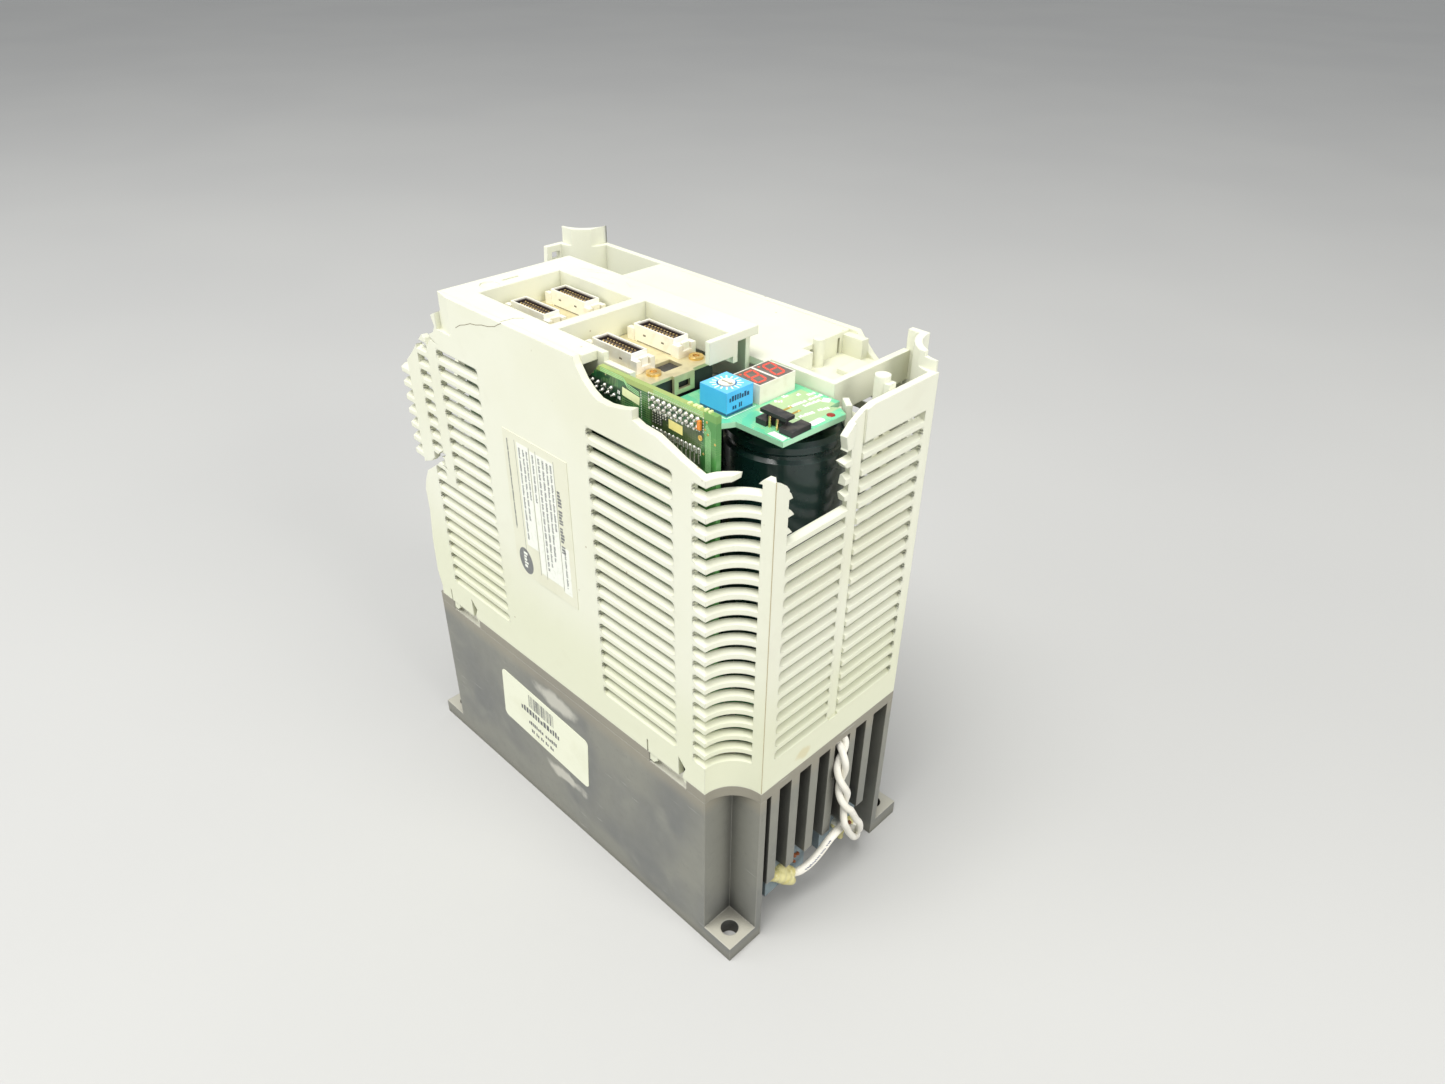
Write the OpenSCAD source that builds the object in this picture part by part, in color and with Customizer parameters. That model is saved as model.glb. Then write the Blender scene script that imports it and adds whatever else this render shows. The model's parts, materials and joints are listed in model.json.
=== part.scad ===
// Panel-mounted servo drive with a finned base, a louvred plastic casing
// that has lost its front door and two corners, and the parts inside it.
// Origin: centre of the mounting face. +Z points out of the panel, +X
// towards the display end, -Y towards the side that carries the nameplate.

/* [Outline] */
// Long side of the drive, from fan end to display end
body_length = 168; // [164:1:172]
// Width of the drive between its two sides
body_width = 90; // [88:1:92]
// Height of the metal base above the mounting face
base_height = 70; // [68:1:72]
// Height of the connector block above the mounting face
front_height = 195; // [193:1:196]
// Height of the flat front panel above the mounting face
panel_height = 185; // [184:0.5:186]

/* [Metal base] */
// Side of the square screwdriver notches at the corners
corner_notch = 12; // [12:0.5:12.5]
// Thickness of the mounting feet
foot_thickness = 6; // [5:0.5:7]
// Diameter of the mounting holes
mount_hole_d = 6; // [5.5:0.1:6.5]
// Distance from a mounting hole to the outer edges of its foot
mount_hole_inset = 6; // [5.8:0.1:6.2]
// Thickness of the side walls of the base
base_wall = 3; // [2.5:0.1:3.2]
// Thickness of a cooling fin
fin_thickness = 3.8; // [3:0.1:4]
// Distance between neighbouring fins
fin_pitch = 9.4; // [9.2:0.1:9.5]
// Height of the lower edge of the fins
fin_bottom = 24; // [23:0.5:26]

/* [Casing] */
// Wall thickness of the plastic casing
case_wall = 2.2; // [2:0.1:2.4]
// Height of the lowest louvre slot
louvre_start = 81.7; // [81.5:0.1:82]
// Distance between louvre slots
louvre_pitch = 5.1; // [5:0.05:5.15]
// Number of louvre slots in a column
louvre_rows = 19; // [19:1:19]
// Clear height of a louvre slot
louvre_gap = 2.6; // [2.2:0.1:2.8]

/* [Boards] */
// Thickness of the circuit boards
board_thickness = 1.6; // [1.2:0.1:1.8]
// Height of the upper face of the display board
display_board_z = 181; // [180:0.5:181.5]
// Outer face of the upright control board, measured from the centre
control_board_y = 40; // [39.5:0.1:40.2]
// Height of the lower face of the power board
power_board_z = 84; // [84:0.5:86]

/* [Components] */
// Diameter of the main capacitors
capacitor_d = 35; // [30:1:35]
// Height of the capacitor nearest the display end; the other one is shorter
capacitor_h = 90; // [76:1:90]
// Side of the rotary switch
switch_side = 10; // [9:0.5:10.5]
// Height of the rotary switch body
switch_h = 6.7; // [6:0.1:7]
// Outer side of the cooling fan
fan_side = 60; // [58:1:60]
// Depth of the cooling fan
fan_depth = 24; // [20:1:25]
// Diameter of the resistor leads
lead_d = 2.5; // [2.2:0.1:2.6]
// Diameter of the sleeved lead
sleeve_d = 2.9; // [2.6:0.1:3]

/* [Part shown] */
// Name of the sub-part to draw, or all

/* [Hidden] */

half_l = body_length / 2;
half_w = body_width / 2;
fine = 64;
small = 0.01;

cream = [0.91, 0.90, 0.80];
metal_grey = [0.56, 0.56, 0.54];
zinc = [0.84, 0.80, 0.66];
board_green = [0.20, 0.55, 0.30];
board_teal = [0.30, 0.66, 0.48];
black_plastic = [0.09, 0.09, 0.09];
gold = [0.85, 0.70, 0.32];
steel = [0.72, 0.72, 0.72];
sleeve_dark = [0.06, 0.16, 0.15];
white_plastic = [0.92, 0.92, 0.88];
switch_blue = [0.26, 0.65, 0.94];
cement_grey = [0.66, 0.71, 0.72];

plate_bottom = base_height - 4;
end_wall_y = half_w - corner_notch;
latch_centers = [-55, 55.5];
latch_pocket = [17, 2, 6.2];
fin_count = 6;
first_fin_y = -26.3;
outer_fin_y = 36;

case_top = front_height + 1;
fan_end_x = -half_l + 0.5;
fan_z = 31.5;
fan_bore_r = 28;
fan_hub_r = 13;
shaft_r = 1.5;
running_gap = 0.05;

// Remaining outline of the nameplate side wall (X, Z)
side_wall_edge = [
  [-70.5, 70], [-70.2, 73.5], [-71.8, 80], [-71.5, 93.5], [-69.7, 107.5],
  [-70, 116], [-68.7, 120.3], [-66, 125.4], [-58, 131], [-56.5, 132.4],
  [-51.5, 130.8], [-54.3, 133.7], [-51.6, 137], [-54, 137.6], [-62, 130.8],
  [-67, 128.6], [-72.3, 130.5], [-72.3, 163.3], [-67.3, 166.2], [-62, 171.2],
  [-58.4, 175.3], [-55.2, 178.4], [-53.6, 177.7], [-52.5, 175.4],
  [-50.5, 178], [-49.4, 178.3], [-46.1, 177.6], [-49.9, 179.2], [-50.1, 180.1],
  [-47.4, 181.5], [-46.2, 183.7], [-47.6, 186.9], [-43.8, 189], [-43.8, 195],
  [22.7, 195], [23.6, 192.9], [26.1, 189.5], [29.2, 187.1], [31.9, 185.8],
  [36, 185.6], [41.1, 186.5], [45.7, 187.8], [45.6, 185], [48.5, 184.1],
  [54.1, 183.7], [58.8, 182.1], [63, 180.5], [70, 178.6], [72, 178.1],
  [74.3, 177.8], [74, 175.5], [78.7, 175.5], [79.9, 177.1], [80.6, 177.8],
  [85, 177.9], [85, 70]
];

// Region of the casing that belongs to the side cover (X, Y)
cover_region = [
  [-half_l, -half_w - 1], [half_l + 1, -half_w - 1], [half_l + 1, -end_wall_y - 1],
  [half_l, -end_wall_y], [half_l - case_wall, -end_wall_y + case_wall],
  [-half_l, -end_wall_y + case_wall]
];

// Remaining outline of the display end wall (Y, Z)
display_end_edge = [
  [-34, 70], [-34, 178], [-29.1, 175.5], [-27.9, 173.9], [-26.2, 170.3],
  [-27.5, 168.3], [-25.8, 166.1], [-27.9, 163.1], [-26.2, 160.9],
  [-26.8, 159.9], [-4.7, 159.9], [-6.1, 164.3], [-4.8, 170.4], [-7.7, 173.6],
  [-5.7, 176.6], [-6.6, 180.4], [-3.7, 183.1], [1.3, 185.6], [4.6, 186.3],
  [34, 186.3], [34, 70]
];

// Remaining outline of the fan end wall (Y, Z)
fan_end_edge = [
  [-31, 70], [-29.5, 84], [-26, 98], [-24, 112], [-20, 126], [-21, 141],
  [-17, 158], [-18.5, 170], [-14, 174], [22.8, 175.5], [24.3, 179],
  [24.8, 185.2], [34, 185.2], [34, 70]
];

// Top of the far side wall (X, Z)
far_wall_edge = [
  [-73, 70], [-73, 185], [47.6, 185.2], [50.7, 181.9], [53.3, 179.4],
  [56.5, 177], [62, 174.5], [68, 173.5], [73, 173.5], [73, 70]
];

// Connector block at the front
block_left = -43.8;
block_right = 41;
block_far = 6;
block_near = -half_w + case_wall;
block_plate = 2.5;
pocket_bottom = 186.5;
block_chamfer_z = 183;

// ---------- shared shapes ----------

module case_outline(inset = 0) {
  difference() {
    square([body_length - 2 * inset, body_width - 2 * inset], center = true);
    for (sx = [-1, 1], sy = [-1, 1])
      translate([sx * half_l, sy * half_w])
        circle(r = corner_notch + inset, $fn = fine);
  }
}

module case_ring(z0, z1) {
  translate([0, 0, z0])
    linear_extrude(z1 - z0)
      difference() {
        case_outline();
        case_outline(case_wall);
      }
}

module box_between(low, high) {
  translate(low)
    cube(high - low);
}

// Extrudes an outline drawn in X and Z through a range of Y
module prism_xz(y0, y1, edge) {
  translate([0, y1, 0])
    rotate([90, 0, 0])
      linear_extrude(y1 - y0)
        polygon(edge);
}

// Extrudes an outline drawn in Y and Z through a range of X
module prism_yz(x0, x1, edge) {
  translate([x0, 0, 0])
    rotate([90, 0, 90])
      linear_extrude(x1 - x0)
        polygon(edge);
}

// Cross-section of a louvre: first value is the depth into the wall
louvre_section = [
  [-1, -1.4], [case_wall * 0.7, 0], [case_wall + 1, 0],
  [case_wall + 1, louvre_gap], [-1, louvre_gap]
];

function louvre_z(row) = louvre_start + row * louvre_pitch;

// Slot through a side wall, running along X; side is -1 or 1
module side_slot(side, x0, x1, row) {
  translate([x0, side * half_w, louvre_z(row)])
    rotate([90, 0, 90])
      linear_extrude(x1 - x0)
        scale([-side, 1])
          polygon(louvre_section);
}

// Slot through an end wall, running along Y; side is -1 or 1
module end_slot(side, y0, y1, row) {
  translate([side * half_l, y1, louvre_z(row)])
    rotate([90, 0, 0])
      linear_extrude(y1 - y0)
        scale([-side, 1])
          polygon(louvre_section);
}

// Slot that follows the hollow corner of the casing
module corner_slot(sx, sy, row) {
  corner_turn = sy > 0 ? 80 : 71;
  scale([sx, sy, 1])
    translate([half_l, half_w, louvre_z(row)])
      rotate([0, 0, 180])
        rotate_extrude(angle = corner_turn, $fn = fine)
          translate([corner_notch, 0])
            polygon(louvre_section);
  side_x = [67, half_l - corner_notch + 0.6];
  side_slot(sy, sx > 0 ? side_x[0] : -side_x[1], sx > 0 ? side_x[1] : -side_x[0], row);
}

// Hook and leg of each latch, hanging into its pocket in the base
module latch_hooks(side) {
  outer = half_w - 0.3;
  hook_t = 1.5;
  for (x = latch_centers)
    scale([1, side, 1])
      prism_xz(outer - hook_t, outer, [
        [x - 8.3, base_height + 1], [x - 8.3, base_height - 3.1],
        [x - 6.5, base_height - 3.3], [x - 4.7, base_height - 1.6],
        [x - 4.7, base_height + 1]
      ]);
  for (x = latch_centers)
    scale([1, side, 1])
      prism_xz(outer - hook_t, outer, [
        [x + 6.9, base_height + 1], [x + 7.2, base_height - 1.8],
        [x + 8.2, base_height - 1.8], [x + 8.2, base_height + 1]
      ]);
}

// Slit and open wedge beside each latch
module latch_slits(side) {
  for (x = latch_centers)
    scale([1, side, 1]) {
      translate([x - 9, half_w, base_height])
        cube([0.6, 8, 10], center = true);
      prism_xz(half_w - 4, half_w + 1, [
        [x + 5.1, base_height + 7.9], [x + 5.2, base_height - 1],
        [x + 6.9, base_height - 1], [x + 6.9, base_height + 1.5],
        [x + 8.2, base_height + 4.6]
      ]);
    }
}

// ---------- base ----------

module base_outline() {
  difference() {
    square([body_length, body_width], center = true);
    for (sx = [-1, 1], sy = [-1, 1])
      translate([sx * half_l, sy * half_w])
        square(2 * corner_notch, center = true);
  }
}

// Plate that carries the electronics, with the fins below it
module heatsink() {
  color(metal_grey)
    difference() {
      union() {
        translate([0, 0, plate_bottom])
          linear_extrude(base_height - plate_bottom)
            case_outline();
        for (i = [0:fin_count - 1])
          box_between(
            [-56, first_fin_y + i * fin_pitch - fin_thickness / 2, fin_bottom],
            [half_l, first_fin_y + i * fin_pitch + fin_thickness / 2, plate_bottom + small]
          );
        for (side = [-1, 1])
          box_between(
            [-66, side * outer_fin_y - 1.5, fin_bottom],
            [66, side * outer_fin_y + 1.5, plate_bottom + small]
          );
      }
      for (x = latch_centers, side = [-1, 1])
        translate([x, side * half_w, base_height])
          cube([latch_pocket[0], 2 * latch_pocket[1], 2 * latch_pocket[2]], center = true);
      box_between([74.4, 3, plate_bottom - 1], [83, 10.2, base_height + 1]);
      box_between([74.4, 2.4, 50], [half_l + 1, 10.2, plate_bottom]);
      for (p = module_screw_points)
        translate([p[0], p[1], plate_bottom + 1])
          cylinder(d = 4, h = 8, $fn = fine);
      for (p = standoff_points)
        translate([p[0], p[1], plate_bottom + 1])
          cylinder(d = 3, h = 8, $fn = fine);
    }
}

module foot(sx, sy) {
  translate([sx * (half_l - corner_notch / 2), sy * (half_w - corner_notch / 2), 0])
    linear_extrude(foot_thickness)
      square(corner_notch, center = true);
}

// Side wall of the base with its two feet; side is -1 or 1
module heatsink_side(side) {
  inner_mid = [body_length - 2 * corner_notch - 2 * base_wall, body_width - 2 * base_wall];
  inner_end = [body_length + 2, 2 * (end_wall_y - base_wall + 0.3)];
  color(metal_grey)
    difference() {
      union() {
        linear_extrude(plate_bottom)
          intersection() {
            difference() {
              base_outline();
              square(inner_mid, center = true);
              square(inner_end, center = true);
            }
            translate([0, side * half_w])
              square([2 * body_length, body_width], center = true);
          }
        for (sx = [-1, 1])
          foot(sx, side);
        box_between(
          [-69, side * 38 - 4.1, 0],
          [69, side * 38 + 4.1, 3]
        );
      }
      for (sx = [-1, 1])
        translate([
          sx * (half_l - mount_hole_inset),
          side * (half_w - mount_hole_inset),
          -1
        ])
          cylinder(d = mount_hole_d, h = foot_thickness + 2, $fn = fine);
    }
}

// ---------- casing ----------

module side_louvres(side) {
  for (row = [0:louvre_rows - 1]) {
    side_slot(side, 26, 60, row);
    if (row < 9)
      side_slot(side, -59.5, -25, row);
    if (row >= 9) {
      side_slot(side, -59.5, -53, row);
      side_slot(side, -47.5, -25, row);
    }
  }
}

module side_cover() {
  color(cream) {
    difference() {
      intersection() {
        case_ring(base_height, front_height);
        prism_xz(-half_w - 1, 0, side_wall_edge);
        linear_extrude(front_height)
          polygon(cover_region);
      }
      side_louvres(-1);
      for (row = [0:louvre_rows - 1])
        corner_slot(1, -1, row);
      for (row = [9:16])
        side_slot(-1, -half_l, -67, row);
      latch_slits(-1);
      translate([block_left, -half_w + 1.4, block_chamfer_z])
        rotate([0, 0, -11.5])
          translate([-1, -3, 0])
            cube([8, 3, 20]);
    }
    latch_hooks(-1);
  }
}

module end_groups(side, rows) {
  for (row = rows) {
    end_slot(side, -28, -3, row);
    end_slot(side, 1.5, 29, row);
  }
}

module case_walls() {
  intersection() {
    case_ring(base_height, case_top);
    union() {
      prism_xz(end_wall_y, half_w + 1, far_wall_edge);
      prism_yz(half_l - corner_notch - 2, half_l + 1, display_end_edge);
      prism_yz(-half_l - 1, -half_l + corner_notch + 2, fan_end_edge);
      box_between(
        [half_l - corner_notch - 6, end_wall_y - 0.5, base_height],
        [half_l - 5, half_w + 1, 191]
      );
      box_between(
        [half_l - 5.1, end_wall_y - 0.5, base_height],
        [half_l - 0.7, half_w + 1, 189.5]
      );
      box_between(
        [-half_l + 1.4, end_wall_y - 0.5, base_height],
        [-half_l + corner_notch, half_w + 1, 191.3]
      );
    }
  }
}

module main_case() {
  color(cream) {
    difference() {
      union() {
        case_walls();
        box_between([78.4, 13, base_height + 90], [half_l - case_wall + small, 16, 188]);
        translate([78.4, 14.5, base_height + 90])
          cylinder(d = 4.4, h = 29.6, $fn = fine);
      }
      side_louvres(1);
      end_groups(1, [0:louvre_rows - 1]);
      end_groups(-1, [2:12]);
      for (row = [0:louvre_rows - 2])
        corner_slot(1, 1, row);
      box_between([-half_l - 1, 26.6, 180.2], [-half_l + 4, 30.2, 182.9]);
      box_between([half_l - 0.7, -3, base_height + 10], [half_l + 1, 1.5, 200]);
      linear_extrude(case_top)
        polygon(cover_region);
      latch_slits(1);
    }
    latch_hooks(1);
  }
}

pocket_a = [-34, 1, -35.5, -5.5];
pocket_b = [5, 39.2, -36, -4];

module pocket_cut(p) {
  box_between([p[0], p[2], pocket_bottom - 1], [p[1], p[3], front_height + 1]);
}

module connector_bezel() {
  skirt = 1.8;
  color(cream)
    difference() {
      union() {
        box_between(
          [block_left + case_wall, block_near, front_height - block_plate],
          [block_right, block_far, front_height]
        );
        box_between(
          [block_left, block_near, 176],
          [block_left + case_wall, block_far, front_height]
        );
        box_between(
          [block_left, block_far - skirt, 176],
          [block_right - 3, block_far, front_height]
        );
        for (p = [pocket_a, pocket_b])
          box_between(
            [p[0] - skirt, p[2] - skirt, pocket_bottom],
            [min(p[1] + skirt, block_right), p[3] + skirt, front_height]
          );
      }
      pocket_cut(pocket_a);
      pocket_cut(pocket_b);
      box_between([24, -half_w, pocket_bottom - 1], [50, -37.8, front_height + 1]);
      box_between([26.5, -half_w, 192.6], [50, -35.9, front_height + 1]);
      box_between([37, -half_w, pocket_bottom - 1], [50, -13, front_height + 1]);
      box_between([39.2 - small, -half_w, pocket_bottom - 1], [50, -4, 188.5]);
      translate([-38, -29, front_height - 0.4])
        cylinder(d = 6, h = 1, $fn = fine);
      box_between([-39, -24, front_height - 0.6], [-38, -18, front_height + 1]);
    }
}

panel_near = 8.4;
panel_right = 67.4;
recess_x = 49;
recess_back_x = 45;
recess_turn_y = 21;
recess_floor = 178;
terminal_floor = 150;

// Small box, raised pad and half-round rib inside the recess
module recess_details(far) {
  box_between([recess_back_x - small, 39.8, recess_floor - small],
    [52.5, far, panel_height - 0.8]);
  box_between([53.5, 27, recess_floor - small], [59.5, 37, recess_floor + 1.6]);
  translate([recess_back_x + 0.8, 27.4, recess_floor - small])
    cylinder(d = 3.6, h = panel_height - recess_floor + 1.6, $fn = fine);
}

// Post standing in the notch of the display board
module board_clip() {
  translate([73, 7.2, recess_floor - 2])
    rotate([0, 0, -40])
      linear_extrude(6.2)
        square([5, 1.8], center = true);
}

module front_panel() {
  far = half_w - case_wall;
  left = -half_l + case_wall;
  web = 2.2;
  color(cream)
    difference() {
      intersection() {
        linear_extrude(front_height)
          case_outline(case_wall);
        union() {
          box_between([-40, block_far + small, panel_height - web], [44, far, panel_height]);
          box_between([44, panel_near, panel_height - web],
            [recess_x, recess_turn_y, panel_height]);
          box_between([recess_x - web, panel_near, recess_floor - web],
            [recess_x, recess_turn_y, panel_height]);
          box_between([recess_back_x - web, recess_turn_y - web, recess_floor - web],
            [recess_x, recess_turn_y, panel_height]);
          box_between([recess_back_x - web, recess_turn_y - web, recess_floor - web],
            [recess_back_x, far, panel_height]);
          box_between([recess_back_x - web, panel_near, recess_floor - web],
            [panel_right, far, recess_floor]);
          recess_details(far);
          board_clip();
          box_between([40, panel_near, recess_floor - web],
            [panel_right, panel_near + web, panel_height]);
          box_between([panel_right - web, panel_near, recess_floor - web],
            [panel_right, far, panel_height]);
          box_between([panel_right - web, panel_near, recess_floor - web],
            [half_l - case_wall, panel_near + web, recess_floor]);
          box_between([74.2, panel_near, 166],
            [half_l - case_wall, panel_near + web, recess_floor]);
          box_between([-40, block_far + small, terminal_floor], [-40 + web, far, panel_height]);
          box_between([left, block_far + small, terminal_floor],
            [-40, block_far + web, panel_height - 6]);
          box_between([left, block_far + small, terminal_floor],
            [-40, far, terminal_floor + web]);
        }
      }
      for (y = [24.4, 37.4])
        box_between([recess_back_x - web - 1, y, recess_floor + 0.5],
          [recess_back_x + 0.2, y + 1.1, panel_height - 1.5]);
    }
}

// ---------- connectors ----------

connector_centers = [[-21, -25], [-21, -10], [18.6, -25.8], [18.6, -10.4]];
connector_top = 192;
bracket_z = 187;
bracket_sheet = 1;
boss_points = [[32, -25.4], [32, -9.5]];
shell_size = [16.4, 5.8];
shell_wall = 0.5;
tail_block = [2.6, 6.6, 3.6];
contact_pitch = 1.27;
contact_count = 10;

module at_connector(i) {
  translate([connector_centers[i][0], connector_centers[i][1], connector_top])
    children();
}

module connector_shell(i) {
  color(zinc)
    at_connector(i) {
      height = connector_top - bracket_z;
      translate([0, 0, -height])
        linear_extrude(height)
          difference() {
            square(shell_size, center = true);
            square(shell_size - [2 * shell_wall, 2 * shell_wall], center = true);
          }
      for (side = [-1, 1]) {
        x = side * (shell_size[0] + tail_block[0]) / 2;
        translate([x, 0, -height + tail_block[2] / 2])
          difference() {
            cube(tail_block, center = true);
            translate([side * 0.8, 0, 1.2])
              cube([2, 3.4, 2.4], center = true);
          }
        translate([x + side * 0.3, 0, -height + tail_block[2] - 0.9])
          cube([1.2, 2.4, 2.8], center = true);
      }
    }
}

module connector_insert(i) {
  inner = shell_size - [2 * shell_wall + 0.1, 2 * shell_wall + 0.1];
  color(black_plastic)
    at_connector(i) {
      difference() {
        translate([0, 0, -(connector_top - bracket_z)])
          linear_extrude(connector_top - bracket_z - 0.4)
            square(inner, center = true);
        translate([0, 0, -4.2])
          linear_extrude(5)
            square([14.2, 3.8], center = true);
      }
      translate([0, 0, -4.4])
        linear_extrude(3.6)
          square([12.8, 1.2], center = true);
    }
}

module connector_contacts(i) {
  color(gold)
    at_connector(i)
      for (k = [0:contact_count - 1], side = [-1, 1])
        translate([
          (k - (contact_count - 1) / 2) * contact_pitch,
          side * 0.8,
          -2
        ])
          cube([0.6, 0.4, 3], center = true);
}

module bracket_plate(x0, x1, tabbed) {
  color(zinc)
    difference() {
      union() {
        box_between([x0, -31, bracket_z - bracket_sheet], [x1, -6.6, bracket_z]);
        if (tabbed) {
          box_between([x1 - small, -22.7, bracket_z - bracket_sheet], [x1 + 1, -15.2, bracket_z]);
          box_between([x1, -22.7, bracket_z - 5.5], [x1 + 1, -15.2, bracket_z]);
        }
      }
      if (tabbed) {
        box_between([x1 - 1, -21.2, bracket_z - 4.2], [x1 + 2, -16.8, bracket_z - 2]);
        box_between([27.6, -22.4, bracket_z - 2], [x1 - 3.3, -15.5, bracket_z + 1]);
        for (p = boss_points)
          translate([p[0], p[1], bracket_z - 2])
            cylinder(d = 2.6, h = 4, $fn = fine);
      }
      if (!tabbed)
        box_between([x0 + 1, -18.8, bracket_z - 2], [x0 + 5, -16.8, bracket_z + 1]);
    }
}

module bracket_screws() {
  color(gold)
    for (p = boss_points)
      translate([p[0], p[1], bracket_z - 4])
        difference() {
          union() {
            cylinder(d = 2.6, h = 4.1, $fn = fine);
            translate([0, 0, 4])
              cylinder(d = 4.2, h = 0.8, $fn = fine);
          }
          translate([0, 0, 4.2])
            cylinder(d = 2, h = 1, $fn = fine);
        }
}

module connector_carrier(x0, x1) {
  top = bracket_z - bracket_sheet;
  color(black_plastic)
    difference() {
      box_between([x0, -31, 173], [x1, -7, top]);
      box_between([x0 + 2, -29, 172], [x1 - 2, -9, top - 3.5]);
      if (x1 > 20)
        for (p = boss_points)
          translate([p[0], p[1], top - 3])
            cylinder(d = 2.6, h = 4, $fn = fine);
    }
}

// ---------- boards ----------

standoff_points = [[-60, -30], [-60, 32], [66, -30], [66, 32]];
module_screw_points = [[-56, 0], [36, 0]];

module control_board() {
  color(board_green)
    prism_xz(-control_board_y, -control_board_y + board_thickness, [
      [-40, 88], [-40, 185], [20, 185], [27, 192.4], [70.5, 192.9], [70.5, 88]
    ]);
}

display_board_edge = -control_board_y + board_thickness;

module display_board() {
  color(board_teal)
    translate([0, 0, display_board_z - board_thickness])
      linear_extrude(board_thickness)
        polygon([
          [41.2, 8], [41.2, 4], [38, 4], [38, display_board_edge], [59.5, display_board_edge],
          [59.5, -30], [57, -24.6], [58.9, -21.2], [75, -20.9],
          [76, 3], [72.4, 5], [70.2, 3.2], [69.8, 8]
        ]);
}

module board_header() {
  color(black_plastic)
    box_between([38, display_board_edge, display_board_z],
      [59.5, display_board_edge + 2.6, display_board_z + 2.5]);
}

module power_board() {
  color(board_green)
    translate([0, 0, power_board_z])
      linear_extrude(board_thickness)
        difference() {
          intersection() {
            translate([5.5, 0])
              square([151, 76], center = true);
            case_outline(case_wall + 0.6);
          }
          for (p = standoff_points)
            translate(p)
              circle(d = 3, $fn = fine);
        }
}

module board_standoffs() {
  color(gold)
    for (p = standoff_points)
      translate([p[0], p[1], base_height])
        difference() {
          union() {
            cylinder(d = 6, h = power_board_z - base_height, $fn = fine);
            translate([0, 0, -2.8])
              cylinder(d = 3, h = 2.9, $fn = fine);
          }
          translate([0, 0, power_board_z - base_height - 8])
            cylinder(d = 3, h = 9, $fn = fine);
        }
}

module pan_screw(head_d, head_h, shank_d, shank_l) {
  difference() {
    union() {
      cylinder(d = head_d, h = head_h, $fn = fine);
      translate([0, 0, -shank_l])
        cylinder(d = shank_d, h = shank_l + small, $fn = fine);
    }
    for (turn = [0, 90])
      rotate([0, 0, turn])
        translate([0, 0, head_h])
          cube([head_d * 0.6, 0.7, head_h], center = true);
  }
}

module board_screws() {
  color(steel)
    for (p = standoff_points)
      translate([p[0], p[1], power_board_z + board_thickness])
        pan_screw(5.6, 2, 3, 7);
}

module power_module() {
  color(black_plastic)
    translate([-10, 0, base_height])
      linear_extrude(11)
        difference() {
          square([104, 44], center = true);
          for (x = [-46, 46])
            translate([x, 0])
              circle(d = 4.4, $fn = fine);
        }
}

module module_screws() {
  color(steel)
    for (p = module_screw_points)
      translate([p[0], p[1], base_height + 11])
        pan_screw(7.5, 2.6, 4, 13.5);
}

module rectifier() {
  color(black_plastic)
    translate([55, 0, base_height])
      linear_extrude(9)
        square([22, 34], center = true);
}

capacitor_drop = 12;

module capacitor(x, y, h) {
  base = power_board_z + board_thickness;
  color(sleeve_dark)
    translate([x, y, base])
      rotate_extrude($fn = 96)
        polygon([
          [0, 0], [capacitor_d / 2 - 1, 0], [capacitor_d / 2, 1],
          [capacitor_d / 2, h - 6], [capacitor_d / 2 - 0.9, h - 5],
          [capacitor_d / 2 - 0.9, h - 4], [capacitor_d / 2, h - 3],
          [capacitor_d / 2, h - 1.2], [capacitor_d / 2 - 1.2, h],
          [capacitor_d / 2 - 3, h], [capacitor_d / 2 - 3, h - 0.8],
          [0, h - 0.8]
        ]);
}

module relay() {
  color(white_plastic)
    translate([-38, 24, power_board_z + board_thickness])
      linear_extrude(24)
        square([28, 16], center = true);
}

module transformer() {
  base = power_board_z + board_thickness;
  color(black_plastic) {
    translate([-37, -16, base])
      linear_extrude(4)
        square([34, 28], center = true);
    translate([-37, -16, base + 4 - small])
      linear_extrude(20)
        square([30, 24], center = true);
    translate([-37, -16, base + 24 - 2 * small])
      linear_extrude(4)
        square([34, 28], center = true);
  }
}

// ---------- controls ----------

switch_center = [50.4, -16.1];
dial_r = 2.3;

module rotary_switch_body() {
  color(switch_blue)
    translate([switch_center[0], switch_center[1], display_board_z])
      difference() {
        linear_extrude(switch_h)
          square(switch_side, center = true);
        translate([0, 0, switch_h - 1])
          cylinder(r = dial_r + 0.4, h = 2, $fn = fine);
        translate([0, 0, 1.5])
          cylinder(r = shaft_r + running_gap, h = switch_h, $fn = fine);
      }
}

module rotary_switch_dial() {
  color(white_plastic)
    translate([switch_center[0], switch_center[1], display_board_z])
      difference() {
        union() {
          translate([0, 0, 2])
            cylinder(r = shaft_r, h = switch_h - 2, $fn = fine);
          translate([0, 0, switch_h - 0.7])
            cylinder(r = dial_r, h = 0.9, $fn = fine);
        }
        translate([0, 0, switch_h])
          cube([3.6, 0.7, 0.9], center = true);
        translate([1.5, 0, switch_h])
          cube([0.9, 1.4, 0.9], center = true);
      }
}

display_center = [51.3, -2.4];
display_size = [10.2, 14.4];
display_h = 5.6;

module digit_display_body() {
  color(white_plastic)
    translate([display_center[0], display_center[1], display_board_z])
      difference() {
        linear_extrude(display_h)
          square(display_size, center = true);
        for (side = [-1, 1])
          translate([0, side * display_size[1] / 4, display_h])
            cube([display_size[0] - 0.6, display_size[1] / 2 - 0.7, 0.8], center = true);
      }
}

module digit_display_face() {
  color([0.45, 0.42, 0.38])
    translate([display_center[0], display_center[1], display_board_z + display_h - 0.4])
      linear_extrude(0.3)
        for (side = [-1, 1])
          translate([0, side * display_size[1] / 4])
            square([display_size[0] - 0.7, display_size[1] / 2 - 0.8], center = true);
}

header_corner = [62.7, -17.8];
header_base_h = 1.6;
header_top = 4.2;

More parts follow.
